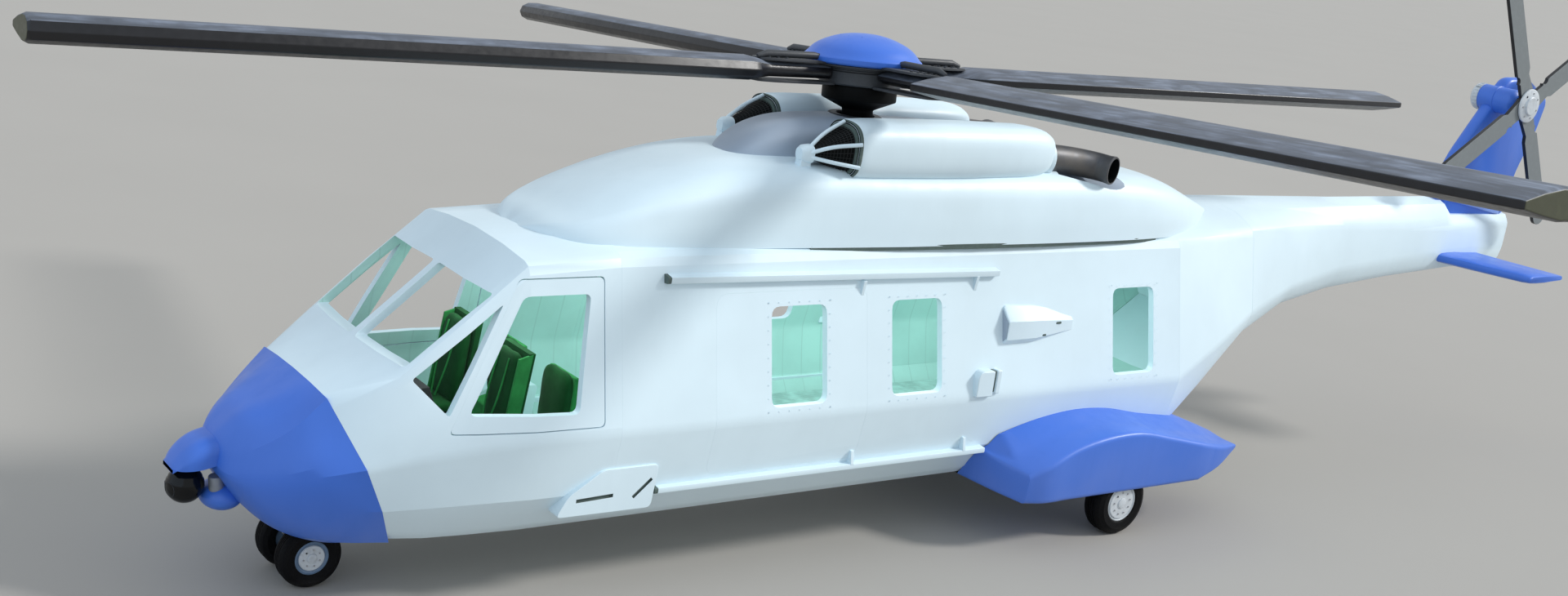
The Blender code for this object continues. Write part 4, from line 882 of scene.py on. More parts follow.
class MakeNose(bpy.types.Operator):
    """Shape the nose, with one crease below its top facet and a well for the nose wheels"""
    bl_idname = "helicopter.nose"
    bl_label = "Nose"

    def execute(self, context):
        joint = [at(NOSE_JOINT_STATION + NOSE_JOINT_LEAN * (z - NOSE_JOINT_Z) + GAP, y, z)
                 for y, z in NOSE_JOINT]
        rows = [curve_through(joint, NOSE_STEPS_ACROSS, range(1, len(joint) - 1))]
        rows += [curve_through(placed(half), NOSE_STEPS_ACROSS, (NOSE_CREASE,)) for half in NOSE_FRAMES]
        rows = smooth_rows(rows, NOSE_STEPS_ALONG)
        well = cylinder(NOSE_WELL_RADIUS, *NOSE_WELL_RANGE, at(NOSE_WHEEL_STATION, 0, 0), UP)
        # The nose wheel well's cut faces are painted black as shade
        nose = carved(skin([both_sides(row) for row in rows]), well)
        Build().add(nose, "blue", "dark").stand_in("nose_shell", "nose_cone", "blue_paint", 12.0)

        rows = []
        for station, top, half, low in HOOD:
            shoulder, top_y = top - HOOD_SHOULDER, HOOD_TOP_SHARE * half
            section = ((half, low), (half, shoulder), (top_y, top), (-top_y, top), (-half, shoulder),
                       (-half, low))
            rows.append(placed(eased([(station, y, z) for y, z in section], HOOD_SHOULDER, 4, (0, 5))))
        build = Build().add(skin(smooth_rows(rows, 4)), "blue")
        build.add(ellipsoid(at(*CHIN[0]), CHIN[1]), "blue")
        build.stand_in("sensor_hood_shell", "sensor_hood", "blue_paint", rounding=0.012)
        post = turned(SENSOR_POST, at(*SENSOR_POST_FOOT), SENSOR_POST_WAY, 28)
        Build().add(post, "bar").extra("sensor_post", "airframe")
        return {"FINISHED"}


# The sensor ball: its middle, its profile from the foot up, a groove round it, and its lenses
SENSOR_STATION = 6.21
SENSOR_Z = 0.90
SENSOR_RADIUS = 0.150
SENSOR_STEPS = 24
SENSOR_SHARE = 0.90
SENSOR_GROOVE = math.radians(112.0)
SENSOR_GROOVE_HALF = math.radians(3.0)
SENSOR_GROOVE_DEPTH = 0.005
SENSOR_NECK_RADIUS = 0.05
SENSOR_NECK_FOOT = 0.16
SENSOR_NECK_RISE = 0.0097
SENSOR_LENSES = (((0.93, 0.30, -0.12), 0.062), ((0.93, -0.34, -0.12), 0.040))


class MakeSensor(bpy.types.Operator):
    """Make the turning sensor ball with its groove and two lenses"""
    bl_idname = "helicopter.sensor"
    bl_label = "Sensor ball"

    def execute(self, context):
        centre = at(SENSOR_STATION, 0, SENSOR_Z)
        profile = []
        for step in range(SENSOR_STEPS + 1):
            tilt = math.pi * (step / SENSOR_STEPS) * SENSOR_SHARE
            grooved = abs(tilt - SENSOR_GROOVE) < SENSOR_GROOVE_HALF
            radius = SENSOR_RADIUS - (SENSOR_GROOVE_DEPTH if grooved else 0.0)
            profile.append((radius * math.sin(tilt), -radius * math.cos(tilt)))
        neck = HOOD[-1][3] + SENSOR_NECK_RISE - SENSOR_Z
        profile += [(SENSOR_NECK_RADIUS, SENSOR_NECK_FOOT), (SENSOR_NECK_RADIUS, neck), (0.0, neck)]
        build = Build().add(turned(profile, centre, UP), "ball")
        for way, radius in SENSOR_LENSES:
            reach = math.sqrt(SENSOR_RADIUS ** 2 - radius ** 2)
            lens = ((0, reach - 0.02), (radius, reach - 0.02), (radius, reach + 0.003),
                    (radius - 0.006, reach + 0.003), (radius - 0.008, reach - 0.001), (0, reach + 0.002))
            build.add(turned(lens, centre, way, 32), "glass")
        build.stand_in("sensor_ball_shell", "sensor_ball", None, 30.0)
        return {"FINISHED"}


# The cowling over the engines: station, foot y, shoulder y, shoulder z and top z
COWLING = ((3.62, 0.15, 0.08, 2.965, 2.970), (3.46, 0.50, 0.31, 3.07, 3.085),
           (3.24, 0.70, 0.48, 3.14, 3.17), (3.00, 0.79, 0.58, 3.225, 3.275),
           (2.60, 0.84, 0.65, 3.365, 3.43), (2.00, 0.875, 0.70, 3.505, 3.59),
           (1.40, 0.905, 0.73, 3.59, 3.65), (0.60, 0.95, 0.75, 3.61, 3.655),
           (-0.08, 0.985, 0.765, 3.60, 3.64), (-2.70, 0.985, 0.75, 3.58, 3.61),
           (-3.30, 0.95, 0.70, 3.54, 3.58), (-3.85, 0.88, 0.62, 3.45, 3.50),
           (-4.40, 0.70, 0.48, 3.29, 3.34), (-4.75, 0.52, 0.36, 3.18, 3.20),
           (-4.95, 0.40, 0.25, 3.12, 3.13))
COWLING_FOOT_Z = 2.935
COWLING_CREASE = 8
ROOF_CROWN_Z = 3.04
# Gearbox fairing: station, half width and top; the hole for the mast and the boot round it
FAIRING = ((1.56, 0.14, 3.62), (1.42, 0.27, 3.73), (1.20, 0.34, 3.87), (0.92, 0.37, 3.955),
           (0.60, 0.385, 3.985), (-0.40, 0.385, 3.97), (-1.10, 0.38, 3.93), (-1.75, 0.33, 3.72),
           (-2.05, 0.24, 3.58))
FAIRING_FOOT_Z = 3.45
MAST_HOLE = (0.185, 3.6, 4.2)
MAST_BOOT = ((0.27, 3.94), (0.27, 3.985), (0.25, 4.0), (0.19, 4.0), (0.185, 3.94))
# The groove below the cowling, painted dark as the shadow under the cowling's overhang: station and share of the
# width, and its section as y and z
GROOVE_RUN = ((1.05, 0.945), (0.0, 1.0), (-2.7, 1.0), (-3.2, 0.98), (-3.55, 0.94))
GROOVE_SECTION = ((0.90, 2.90), (0.975, 2.90), (0.978, 2.95), (0.90, 2.95))
# Exhausts and the scoops for them: station, y, z and radius
EXHAUST_RUN = ((-1.2503, 0.64, 3.745, 0.115), (-1.70, 0.64, 3.745, 0.125), (-2.05, 0.66, 3.73, 0.138),
               (-2.38, 0.69, 3.70, 0.142), (-2.60, 0.79, 3.675, 0.142), (-2.665, 0.95, 3.665, 0.140))
EXHAUST_SCOOP = ((-2.10, 0.66, 3.70, 0.18), (-2.60, 0.78, 3.68, 0.21), (-2.95, 0.98, 3.68, 0.24),
                 (-3.10, 1.25, 3.70, 0.26))


def cowling_half(station, foot_y, shoulder_y, shoulder_z, top_z):
    """Half a section of the cowling: over the roof, down to its foot and up its side to the ridge."""
    rise = shoulder_z - COWLING_FOOT_Z
    crown = min(ROOF_CROWN_Z, top_z - 0.08)
    half = ((0, crown), (0.55 * foot_y, crown - 0.03), (foot_y, min(COWLING_FOOT_Z, crown - 0.05)),
            (foot_y - 0.02, COWLING_FOOT_Z + 0.42 * rise),
            (0.5 * (foot_y + shoulder_y) + 0.015, COWLING_FOOT_Z + 0.86 * rise),
            (shoulder_y, shoulder_z), (0.62 * shoulder_y, top_z - 0.012), (0, top_z))
    return curve_through([at(station, y, z) for y, z in half], 4, (2,))


def fairing_half(station, half_width, top):
    """Half a section of the gearbox fairing, from its foot to its ridge."""
    rise = top - FAIRING_FOOT_Z
    half = ((half_width, FAIRING_FOOT_Z), (half_width, FAIRING_FOOT_Z + 0.5 * rise),
            (0.88 * half_width, FAIRING_FOOT_Z + 0.82 * rise), (0.55 * half_width, top - 0.03 * rise),
            (0, top))
    return curve_through([at(station, y, z) for y, z in half], 4)


class MakeCowling(bpy.types.Operator):
    """Shape the cowling over the engines and the fairing over the gearbox"""
    bl_idname = "helicopter.cowling"
    bl_label = "Cowling"

    def execute(self, context):
        # The exhaust scoops' cut faces take the fairing grey as painted shade in the hollows
        scoops = [tube(placed([run[:3] for run in EXHAUST_SCOOP], side),
                       [run[3] for run in EXHAUST_SCOOP], 28) for side, _ in SIDES]
        rows = smooth_rows([both_sides(cowling_half(*row)) for row in COWLING], 4, (COWLING_CREASE,))
        Build().add(carved(skin(rows), *scoops), "white", "fairing").stand_in(
            "cowling_shell", "upper_cowling", "white_paint", 40.0, 0.006)

        # The gearbox fairing takes the fairing grey, darkened as painted shade under the hub; the mast hole's cut
        # faces are painted black as shade
        middle = at(0, 0, 0)
        rows = smooth_rows([both_sides(fairing_half(*row), 0) for row in FAIRING], 4)
        build = Build().add(carved(skin(rows), cylinder(*MAST_HOLE, middle, UP)), "fairing", "dark")
        build.add(turned(MAST_BOOT, middle, UP, 40, True), "hub")
        build.stand_in("gearbox_fairing", "gearbox_cowling", "white_paint", 40.0, 0.004)

        # Dark strips along the cowling's foot: painted shadow under its overhang
        build = Build()
        for side, _ in SIDES:
            rows = [[at(station, side * y * share, z) for y, z in GROOVE_SECTION]
                    for station, share in GROOVE_RUN]
            build.add(skin(smooth_rows(rows, 3)), "groove")
        build.extra("cowling_groove", "airframe", 0.004)
        return {"FINISHED"}


# Nacelles: station and share of the full section, outside and inside
NACELLE_Y = 0.64
NACELLE_MIDDLE_Z = 3.79
NACELLE_HALF = 0.29
NACELLE_SQUARENESS = 0.74
NACELLE_RUN = ((0.62, 0.84), (0.58, 0.90), (0.45, 0.94), (0.10, 0.96), (-1.25, 0.94), (-1.68, 0.88),
               (-1.86, 0.76), (-1.94, 0.62))
NACELLE_WALL = 0.03
NACELLE_DUCT = ((0.12, 0.95), (0.30, 0.92), (0.60, 0.84))
NACELLE_LIP = ((0.618, 0.88), (0.612, 0.905), (0.595, 0.915), (0.585, 0.90))
DUCT_REAR = 0.11
DUCT_RADIUS = 0.232
# The collar round an exhaust: its profile, middle and way
COLLAR = ((0.145, -0.02), (0.175, -0.02), (0.18, 0.0), (0.18, 0.05), (0.145, 0.05))
COLLAR_MIDDLE = (-1.93, 0.655, 3.735)
COLLAR_WAY = (-1.0, 0.12, -0.05)
# The intake's screen narrows from the lip to its apex, in front of a cone painted black as the shade inside the
# intake
SCREEN_APEX = (1.09, 0.64, 3.74)
SCREEN_STATION = 0.615
SCREEN_SHARE = 0.76
SCREEN_SPOKES = 40
SCREEN_HOOPS = 16
SCREEN_REACH = 0.94
CONE_SHARES = (0.0, 0.5, 0.9)
CONE_BEHIND = Vector((-0.02, 0, 0))
DRAIN_LOW = (0.45, 0.53, 3.60)
DRAIN_HIGH = (0.57, 0.75, 3.70)
SILL_STATIONS = (0.60, 0.64)
SILL_SHARE = 0.80
# Three ribs run from the rim to the apex: station, distance outboard and z at the rim
RIB_ENDS = ((0.64, 0.0, 4.045), (0.61, 0.27, 3.88), (0.60, 0.26, 3.665))
RIB_RADIUS = 0.019
RIB_HIGH_Z = 3.8
APEX_LUMP = ((-0.10, 0.30), (-0.02, 0.27), (0.02, 0.18))
APEX_FOOT = ((0.98, 3.56), (1.12, 3.56), (1.10, 3.70), (1.00, 3.70))
APEX_FOOT_HALF = 0.045
EXHAUST_STEPS = 6
EXHAUST_SIDES = 36
EXHAUST_WALL = 0.014


def nacelle_ring(side, station, share, inset=0.0):
    """A rounded box section around an engine."""
    ring = []
    reach = NACELLE_HALF * share - inset
    for index in range(SCREEN_SPOKES):
        turn = math.tau * index / SCREEN_SPOKES
        across = boxy(math.cos(turn), NACELLE_SQUARENESS) * reach
        upward = boxy(math.sin(turn), NACELLE_SQUARENESS) * reach
        ring.append(at(station, side * (NACELLE_Y + across), NACELLE_MIDDLE_Z + upward))
    return ring


def in_duct(point, side):
    """Whether a point of a nacelle lies in its intake."""
    across, rise = point.y - side * NACELLE_Y, point.z - NACELLE_MIDDLE_Z
    return point.x > at(DUCT_REAR, 0, 0).x and math.hypot(across, rise) < DUCT_RADIUS


class MakeEngines(bpy.types.Operator):
    """Make the nacelles, the meshed intakes with their ribs, and the exhausts"""
    bl_idname = "helicopter.engines"
    bl_label = "Engines"

    def execute(self, context):
        for side, word in SIDES:
            self.make_nacelle(side, word)
            self.make_intake(side, word)
            self.make_exhaust(side, word)
        return {"FINISHED"}

    def make_nacelle(self, side, word):
        """The nacelle's wall with its lip painted dark as shade, and the collar round the exhaust."""
        outer = smooth_rows([nacelle_ring(side, *run) for run in NACELLE_RUN], 3)
        inner = [nacelle_ring(side, *run, NACELLE_WALL) for run in NACELLE_DUCT]
        build = Build().add(skin(inner + outer), "white")
        build.add(skin([nacelle_ring(side, *run) for run in NACELLE_LIP]), "groove")
        way = (COLLAR_WAY[0], side * COLLAR_WAY[1], COLLAR_WAY[2])
        build.add(turned(COLLAR, placed([COLLAR_MIDDLE], side)[0], way, 40, True), "white")
        piece = build.stand_in(f"nacelle_shell_{word}", f"engine_nacelle_{word}", "white_paint", 40.0)
        # Faces inside the intake duct are painted black as shade
        for face in piece.data.polygons:
            if in_duct(face.center, side):
                face.material_index = len(piece.data.materials)
        piece.data.materials.append(paint("dark"))

    def make_intake(self, side, word):
        """The screen of wires, and the ribs, the cone and the sill around it; the cone and sill are painted dark
        as shade.
        """
        apex = placed([SCREEN_APEX], side)[0]
        rim = nacelle_ring(side, SCREEN_STATION, SCREEN_SHARE)
        paths = [([point, point.lerp(apex, SCREEN_REACH)], UP) for point in rim]
        for hoop in range(SCREEN_HOOPS):
            ring = [point.lerp(apex, SCREEN_REACH * hoop / SCREEN_HOOPS) for point in rim]
            paths.append((ring + [ring[0]], UP))
        values = {"Radius": size_of("wire_radius"), "Finish": paint("wire")}
        grown(f"intake_mesh_{word}", wires_tree, paths, values, "airframe")

        cone = skin([[point.lerp(apex, share) + CONE_BEHIND for point in rim] for share in CONE_SHARES])
        build = Build().add(cone, "dark").add(side_block(side, DRAIN_LOW, DRAIN_HIGH), "hub")
        build.add(skin([nacelle_ring(side, station, SILL_SHARE) for station in SILL_STATIONS]), "groove")
        tip = apex + Vector((0.0, side * 0.03, -0.01))
        for station, outboard, z in RIB_ENDS:
            end = at(station, side * (NACELLE_Y + outboard), z)
            bend = tip.lerp(end, 0.55) + Vector((0.03, 0.0, 0.02 if z > RIB_HIGH_Z else 0.0))
            build.add(tube(curve_through((tip, bend, end), 6), RIB_RADIUS, 10), "white")
        lump = skin([nacelle_ring(side, SCREEN_APEX[0] + along, share) for along, share in APEX_LUMP])
        drop = Matrix.Translation((0, 0, SCREEN_APEX[2] - NACELLE_MIDDLE_Z))
        middle = side * NACELLE_Y
        foot = side_prism(APEX_FOOT, middle - APEX_FOOT_HALF, middle + APEX_FOOT_HALF)
        build.add(moved(lump, drop), "white").add(foot, "white")
        build.stand_in(f"intake_ribs_{word}", f"intake_screen_{word}", None, 40.0, 0.003)

    def make_exhaust(self, side, word):
        """The pipe with a rolled mouth, hollow over most of its length, black inside with soot and painted shade.
        """
        path = curve_through(placed([run[:3] for run in EXHAUST_RUN], side), EXHAUST_STEPS)
        radii = [point.x for point in curve_through([(run[3], 0, 0) for run in EXHAUST_RUN], EXHAUST_STEPS)]
        mouth = (path[-1] - path[-2]).normalized()
        outer = tube(path + [path[-1] + mouth * 0.012],
                     radii[:-2] + [radii[-2] + 0.004, radii[-1] + 0.008, radii[-1] + 0.002], EXHAUST_SIDES)
        inner = [point - mouth * 0.02 for point in path[EXHAUST_STEPS:]] + [path[-1] + mouth * 0.1]
        inner_radii = [radius - EXHAUST_WALL for radius in radii[EXHAUST_STEPS:]] + [radii[-1] - 0.008]
        hollow = tube(inner, inner_radii, EXHAUST_SIDES)
        Build().add(carved(outer, hollow), "exhaust", "dark").stand_in(
            f"exhaust_shell_{word}", f"exhaust_pipe_{word}", "steel", 40.0, 0.003)


# Sponson: station, foot y, underside z, crease z, z of the joint with the hull
SPONSON = ((-1.20, 1.05, 0.56, 0.93, 0.98), (-1.31, 1.40, 0.52, 0.84, 1.02), (-1.42, 1.70, 0.49, 0.79, 1.06),
           (-1.63, 1.765, 0.49, 0.90, 1.12), (-1.95, 1.765, 0.49, 1.03, 1.19),
           (-2.40, 1.765, 0.49, 1.12, 1.24), (-2.87, 1.765, 0.49, 1.135, 1.215),
           (-3.40, 1.765, 0.49, 1.03, 1.11), (-3.93, 1.765, 0.49, 0.91, 1.03),
           (-4.30, 1.70, 0.57, 0.83, 0.93), (-4.66, 1.58, 0.70, 0.77, 0.80))
SPONSON_CORNERS = (2, 8)
SPONSON_INNER_Y = 0.80
SPONSON_LEAN = 0.025
SPONSON_JOINT_Y = 1.25
SPONSON_EASE = 0.055
WHEEL_WELL = ((-3.26, 1.28, 0.30), (-2.42, 1.745, 0.76))
RAMP_WAY = ((-5.0, 0.0, 0.2), (-3.899, 0.9565, 1.5))
# The hull beside the sponsons: station, and a half section of (y, z) that is cut away
HULL_BESIDE = ((-1.0, ((0, 0.505), (0.94, 0.555), (1.203, 0.95), (1.29, 1.48), (0, 1.48))),
               (-3.90, ((0, 0.505), (0.94, 0.555), (1.173, 0.95), (1.28, 1.47), (0, 1.47))),
               (-4.70, ((0, 1.20), (0.91, 1.22), (1.035, 1.45), (1.05, 1.50), (0, 1.50))))


def sponson_section(station, foot, low, crease, joint):
    """A section: a flat side up to the crease, then a hollow top up to the hull."""
    out = foot + SPONSON_LEAN
    joint_y = min(SPONSON_JOINT_Y, 0.5 * (SPONSON_INNER_Y + out))
    section = ((SPONSON_INNER_Y, low), (foot, low), (out, crease),
               (0.5 * (out + joint_y), 0.6 * crease + 0.4 * joint - 0.012), (joint_y, joint),
               (SPONSON_INNER_Y, joint))
    return eased([(station, y, z) for y, z in section], SPONSON_EASE, 5, (0, 4, 5))


class MakeSponsons(bpy.types.Operator):
    """Shape the sponsons: a flat side below an arched crease, a hollow top and a wheel well"""
    bl_idname = "helicopter.sponsons"
    bl_label = "Sponsons"

    def execute(self, context):
        for side, word in SIDES:
            rows = smooth_rows([placed(sponson_section(*row), side) for row in SPONSON], 4, SPONSON_CORNERS)
            hull = skin([both_sides([at(station, y, z) for y, z in half]) for station, half in HULL_BESIDE])
            # The cut faces, the wheel well's among them, are painted black as shade
            shape = carved(skin(rows), hull, side_block(side, *WHEEL_WELL), side_block(side, *RAMP_WAY))
            Build().add(shape, "blue", "dark").stand_in(
                f"sponson_shell_{word}", f"sponson_{word}", "blue_paint", 34.0, 0.004)
        return {"FINISHED"}


# Wheels: station, y, radius, half width, rim radius, the cap's share of the rim and the dish's finish
MAIN_WHEEL = (-2.84, 1.60, 0.344, 0.125, 0.19, 0.90, "rim")
NOSE_WHEEL = (NOSE_WHEEL_STATION, 0.22, 0.264, 0.10, 0.14, 0.80, "ring")
TREAD_PLACES = (0.24, 0.0, -0.24)
TREAD_DEPTH = 0.008
TREAD_HALF = 0.05
TREAD_EDGE = 0.01
# Rings of bolts: radius of the ring, of a bolt, height and spacing
MAIN_BOLTS = (0.115, 0.009, 0.012, 0.0722)
NOSE_BOLTS = (0.072, 0.007, 0.009, 0.0565)
AXLE_RADIUS = 0.038
AXLE_REACH = 0.15
# The main leg, inboard of its wheel: profiles of its case and axle, lug outline and a hose
LEG_INBOARD = 0.075
LEG_FOOT_Z = 0.264
LEG_CASE = ((0, 0), (0.062, 0), (0.066, 0.02), (0.066, 0.30), (0.05, 0.32), (0.05, 0.495), (0, 0.495))
LEG_AXLE = ((0, -0.05), (0.07, -0.05), (0.075, -0.04), (0.075, 0.045), (0.045, 0.06), (0.044, 0.205),
            (0, 0.205))
LUG = ((-0.085, 0), (0.085, 0), (0.085, 0.03), (-0.085, 0.03))
LUG_HEIGHTS = (0.45, 0.52)
LUG_HALF = 0.03
HOSE = ((0.08, 0.74), (0.10, 0.55), (0.085, 0.42), (0.05, 0.36))
# The nose leg, from the middle of its axle: its profile, fork outline, bore, and the folding link
NOSE_STRUT = ((0, 0.03), (0.052, 0.03), (0.055, 0.05), (0.055, 0.24), (0.085, 0.262), (0.085, 0.3355),
              (0, 0.3355))
NOSE_FORK = ((-0.075, -0.075), (0.075, -0.075), (0.078, 0.06), (0.045, 0.095), (-0.045, 0.095),
             (-0.078, 0.06))
NOSE_FORK_HALF = 0.084
NOSE_BORE = 0.043
NOSE_LINKS = (((0.06, 0.045), (0.135, 0.13)), ((0.135, 0.13), (0.06, 0.215)))


def tyre_profile(radius, half_width, rim):
    """Tyre outline with tread grooves, outer face first."""
    profile = [(rim, half_width * 0.80), (rim + 0.02, half_width * 0.93), (radius * 0.80, half_width),
               (radius * 0.94, half_width * 0.82), (radius * 0.985, half_width * 0.62),
               (radius, half_width * 0.45)]
    shoulder = list(profile)
    foot = TREAD_HALF - TREAD_EDGE
    for place in TREAD_PLACES:
        for step, depth in ((TREAD_HALF, 0.0), (foot, TREAD_DEPTH), (-foot, TREAD_DEPTH), (-TREAD_HALF, 0.0)):
            profile.append((radius - depth, half_width * (place + step)))
    profile += [(across, -along) for across, along in reversed(shoulder)]
    bore = rim * 0.96
    return profile + [(bore, -half_width * 0.75), (bore, half_width * 0.75)]


def add_wheel(build, wheel, side):
    """A tyre on a dished rim with a flat cap; returns the outer face's centre and way."""
    station, y, radius, half_width, rim, cap_share, dish_finish = wheel
    centre, way = at(station, side * y, radius), Vector((0, side, 0))
    build.add(turned(tyre_profile(radius, half_width, rim), centre, way, 72, True), "tyre")
    face = half_width * 0.84
    dish = ((0.0, -half_width * 0.5), (rim * 0.97, -half_width * 0.5), (rim * 1.01, -half_width * 0.82),
            (rim * 1.02, face), (rim * 0.97, face + 0.004), (rim * 0.93, face - 0.006),
            (rim * cap_share, face - 0.016), (0.0, face - 0.016))
    build.add(turned(dish, centre, way, 64), dish_finish)
    cap = rim * cap_share * 0.98
    disc = ((0.0, face - 0.02), (cap, face - 0.02), (cap, face - 0.002), (cap - 0.006, face + 0.004),
            (rim * 0.30, face + 0.004), (rim * 0.28, face + 0.012), (rim * 0.20, face + 0.016),
            (0.0, face + 0.016))
    build.add(turned(disc, centre, way, 64), "rim")
    return centre + way * (face + 0.005), way


def wheel_bolts(name, faces, sizes, body):
    """Rings of bolts on the outer faces of wheels."""
    ring, radius, height, spacing = sizes
    studs(name, [ring_path(*face, ring) for face in faces], radius, height, spacing, "steel", body)


class MakeGear(bpy.types.Operator):
    """Make the wheels with grooved tyres, rims and bolts, and the legs that carry them"""
    bl_idname = "helicopter.gear"
    bl_label = "Landing gear"

    def execute(self, context):
        for side, word in SIDES:
            build, node = Build(), f"main_wheel_{word}"
            face = add_wheel(build, MAIN_WHEEL, side)
            build.stand_in(f"main_wheel_shell_{word}", node, "tyre", 30.0)
            wheel_bolts(f"main_wheel_bolts_{word}", [face], MAIN_BOLTS, BODY_OF[node])
            self.make_main_leg(side, word)
        build = Build()
        faces = [add_wheel(build, NOSE_WHEEL, side) for side, _ in SIDES]
        middle = at(NOSE_WHEEL_STATION, 0, NOSE_WHEEL[2])
        build.add(cylinder(AXLE_RADIUS, -AXLE_REACH, AXLE_REACH, middle, PORT, 28), "steel")
        build.stand_in("nose_wheel_shells", "nose_wheels", "tyre", 30.0)
        wheel_bolts("nose_wheel_bolts", faces, NOSE_BOLTS, BODY_OF["nose_wheels"])
        self.make_nose_leg(middle)
        return {"FINISHED"}

    def make_main_leg(self, side, word):
        """An upright case, the axle, two lugs and a hose."""
        station, y, radius, half_width = MAIN_WHEEL[:4]
        leg_y = side * (y - half_width - LEG_INBOARD)
        build = Build().add(turned(LEG_CASE, at(station, leg_y, LEG_FOOT_Z), UP, 32), "leg")
        build.add(turned(LEG_AXLE, at(station, leg_y, radius), (0, side, 0), 32), "steel")
        for height in LUG_HEIGHTS:
            lug = [at(ahead, leg_y - LUG_HALF, z) for ahead, z in shifted(LUG, station, height)]
            build.add(prism(eased(lug, 0.008, 2), (0, 2 * LUG_HALF, 0)), "leg")
        hose = [at(ahead, leg_y, z) for ahead, z in shifted(HOSE, station, 0.0)]
        build.add(tube(curve_through(hose, 6), 0.011, 10), "wire")
        build.stand_in(f"main_leg_shell_{word}", f"main_leg_{word}", "steel", 30.0, 0.002)

    def make_nose_leg(self, middle):
        """The strut, the fork with its bore, and the folding link."""
        fork = eased([middle + Vector((ahead, -NOSE_FORK_HALF, rise)) for ahead, rise in NOSE_FORK], 0.025)
        bore = cylinder(NOSE_BORE, -0.2, 0.2, middle, PORT, 32)
        fork = carved(prism(fork, (0, 2 * NOSE_FORK_HALF, 0)), bore)
        build = Build().add(turned(NOSE_STRUT, middle, UP, 36), "leg").add(fork, "leg", "steel")
        for link in NOSE_LINKS:
            path = [middle + Vector((ahead, 0, rise)) for ahead, rise in link]
            build.add(tube(path, 0.016, 12), "steel")
        build.stand_in("nose_leg_shell", "nose_leg", "steel", 30.0, 0.002)


# The main rotor, in its own frame: Z along the mast, the front blade near X
ROTOR_TURN = math.radians(-4.0)
ROTOR_PLACE = Matrix.Translation(MAST) @ Matrix.Rotation(ROTOR_LEAN, 4, "X")
ROTOR_RADIUS = 7.45
HUB_RADIUS = 0.40
BLADE_DROP = -0.04
BLADE_LEADING = 0.2232
BLADE_TRAILING = 0.3968
# A blade's section: share of the chord from the trailing edge, and share of the half thickness
BLADE_SECTION = ((1.0, 0.0), (0.95, 0.62), (0.82, 0.95), (0.62, 1.0), (0.30, 0.72), (0.0, 0.30),
                 (0.0, -0.20), (0.30, -0.55), (0.62, -0.85), (0.82, -0.85), (0.95, -0.55))
# Along a blade: radius, leading and trailing reach, half thickness
BLADE_RUN = ((HUB_RADIUS + GAP, 0.10, 0.10, 0.07), (1.08, 0.12, 0.12, 0.075), (1.16, 0.15, 0.20, 0.085),
             (1.24, 0.20, 0.33, 0.105), (1.32, BLADE_LEADING, BLADE_TRAILING, 0.12),
             (3.4, BLADE_LEADING, BLADE_TRAILING, 0.12), (5.4, BLADE_LEADING, BLADE_TRAILING, 0.12),
             (ROTOR_RADIUS - 0.03, BLADE_LEADING, BLADE_TRAILING, 0.12),
             (ROTOR_RADIUS, BLADE_LEADING - 0.01, BLADE_TRAILING - 0.01, 0.105))
BLADE_TIP = 0.0016
BLADE_UP_LIMIT = 0.55
# The grip's plates above and below, its bar with its radii, and its rows of bolts
PLATE_OUTLINE = ((0.36, -0.13), (1.02, -0.15), (1.20, -0.09), (1.20, 0.09), (1.02, 0.15), (0.36, 0.13))
PLATE_HEIGHTS = (0.086, -0.112)
PLATE_THICKNESS = 0.024
GRIP_BAR = ((0.46, 0.06, 0.135), (0.60, 0.06, 0.15), (1.12, 0.06, 0.145), (1.22, 0.06, 0.12))
GRIP_BAR_RADII = (0.022, 0.034, 0.034, 0.02)
BOLT_ROWS = (-0.10, 0.0, 0.10)
BOLT_HEIGHT = 0.112
# Profiles of the mast's collar above its foot, the hub's drum, and the dome in shares of its radius
MAST_COLLAR = ((0.15, -0.385), (0.155, -0.375), (0.355, -0.285), (0.36, -0.275), (0.36, -0.155),
               (0.355, -0.145), (0, -0.145))
HUB_DRUM = ((0, -0.144), (0.385, -0.144), (0.40, -0.13), (0.40, -0.02), (0.385, -0.012), (0.385, 0.0),
            (0.40, 0.01), (0.40, 0.028), (0.505, 0.030), (0.515, 0.034), (0.515, 0.044), (0.505, 0.049),
            (0, 0.049))
DOME_RADIUS = 0.57
DOME_FOOT = ((0.0, 0.0505), (0.90, 0.0505), (0.93, 0.062), (0.965, 0.11))
DOME_CROWN = ((0.985, 0.118), (0.965, 0.128), (0.84, 0.205), (0.56, 0.29), (0.25, 0.335), (0.0, 0.345))
DOME_RIM = ((0.93, 0.064), (0.99, 0.066), (1.0, 0.076), (1.0, 0.108), (0.985, 0.119), (0.955, 0.119))
DOME_BOLTS = (0.24, 0.31)


def rotor_turned(profile, steps=48, looped=False):
    """A profile turned about the mast."""
    return moved(turned(profile, (0, 0, 0), UP, steps, looped), ROTOR_PLACE)


def dome_profile(shares):
    """A profile given in shares of the dome's radius."""
    return [(DOME_RADIUS * share, rise) for share, rise in shares]


def blade_shape():
    """One blade along X, with its UV map: span along u, chord along v."""
    rows = []
    for radius, leading, trailing, half in BLADE_RUN:
        rows.append([Vector((radius, -trailing + share * (leading + trailing), height * half))
                     for share, height in BLADE_SECTION])
    shape = skin(rows)
    layer = shape.loops.layers.uv.new("blade")
    for face in shape.faces:
        for loop in face.loops:
            loop[layer].uv = (loop.vert.co.x, loop.vert.co.y)
        # The tip's end face takes the olive tint, a painted reflection
        tip = face.calc_center_median().x > ROTOR_RADIUS - BLADE_TIP
        # Faces that look up take the paler blade skin; the rest go near black, partly a dark edge strip and partly
        # painted shade
        up = face.normal.z > BLADE_UP_LIMIT
        face.material_index = 2 if tip else (0 if up else 1)
    return shape


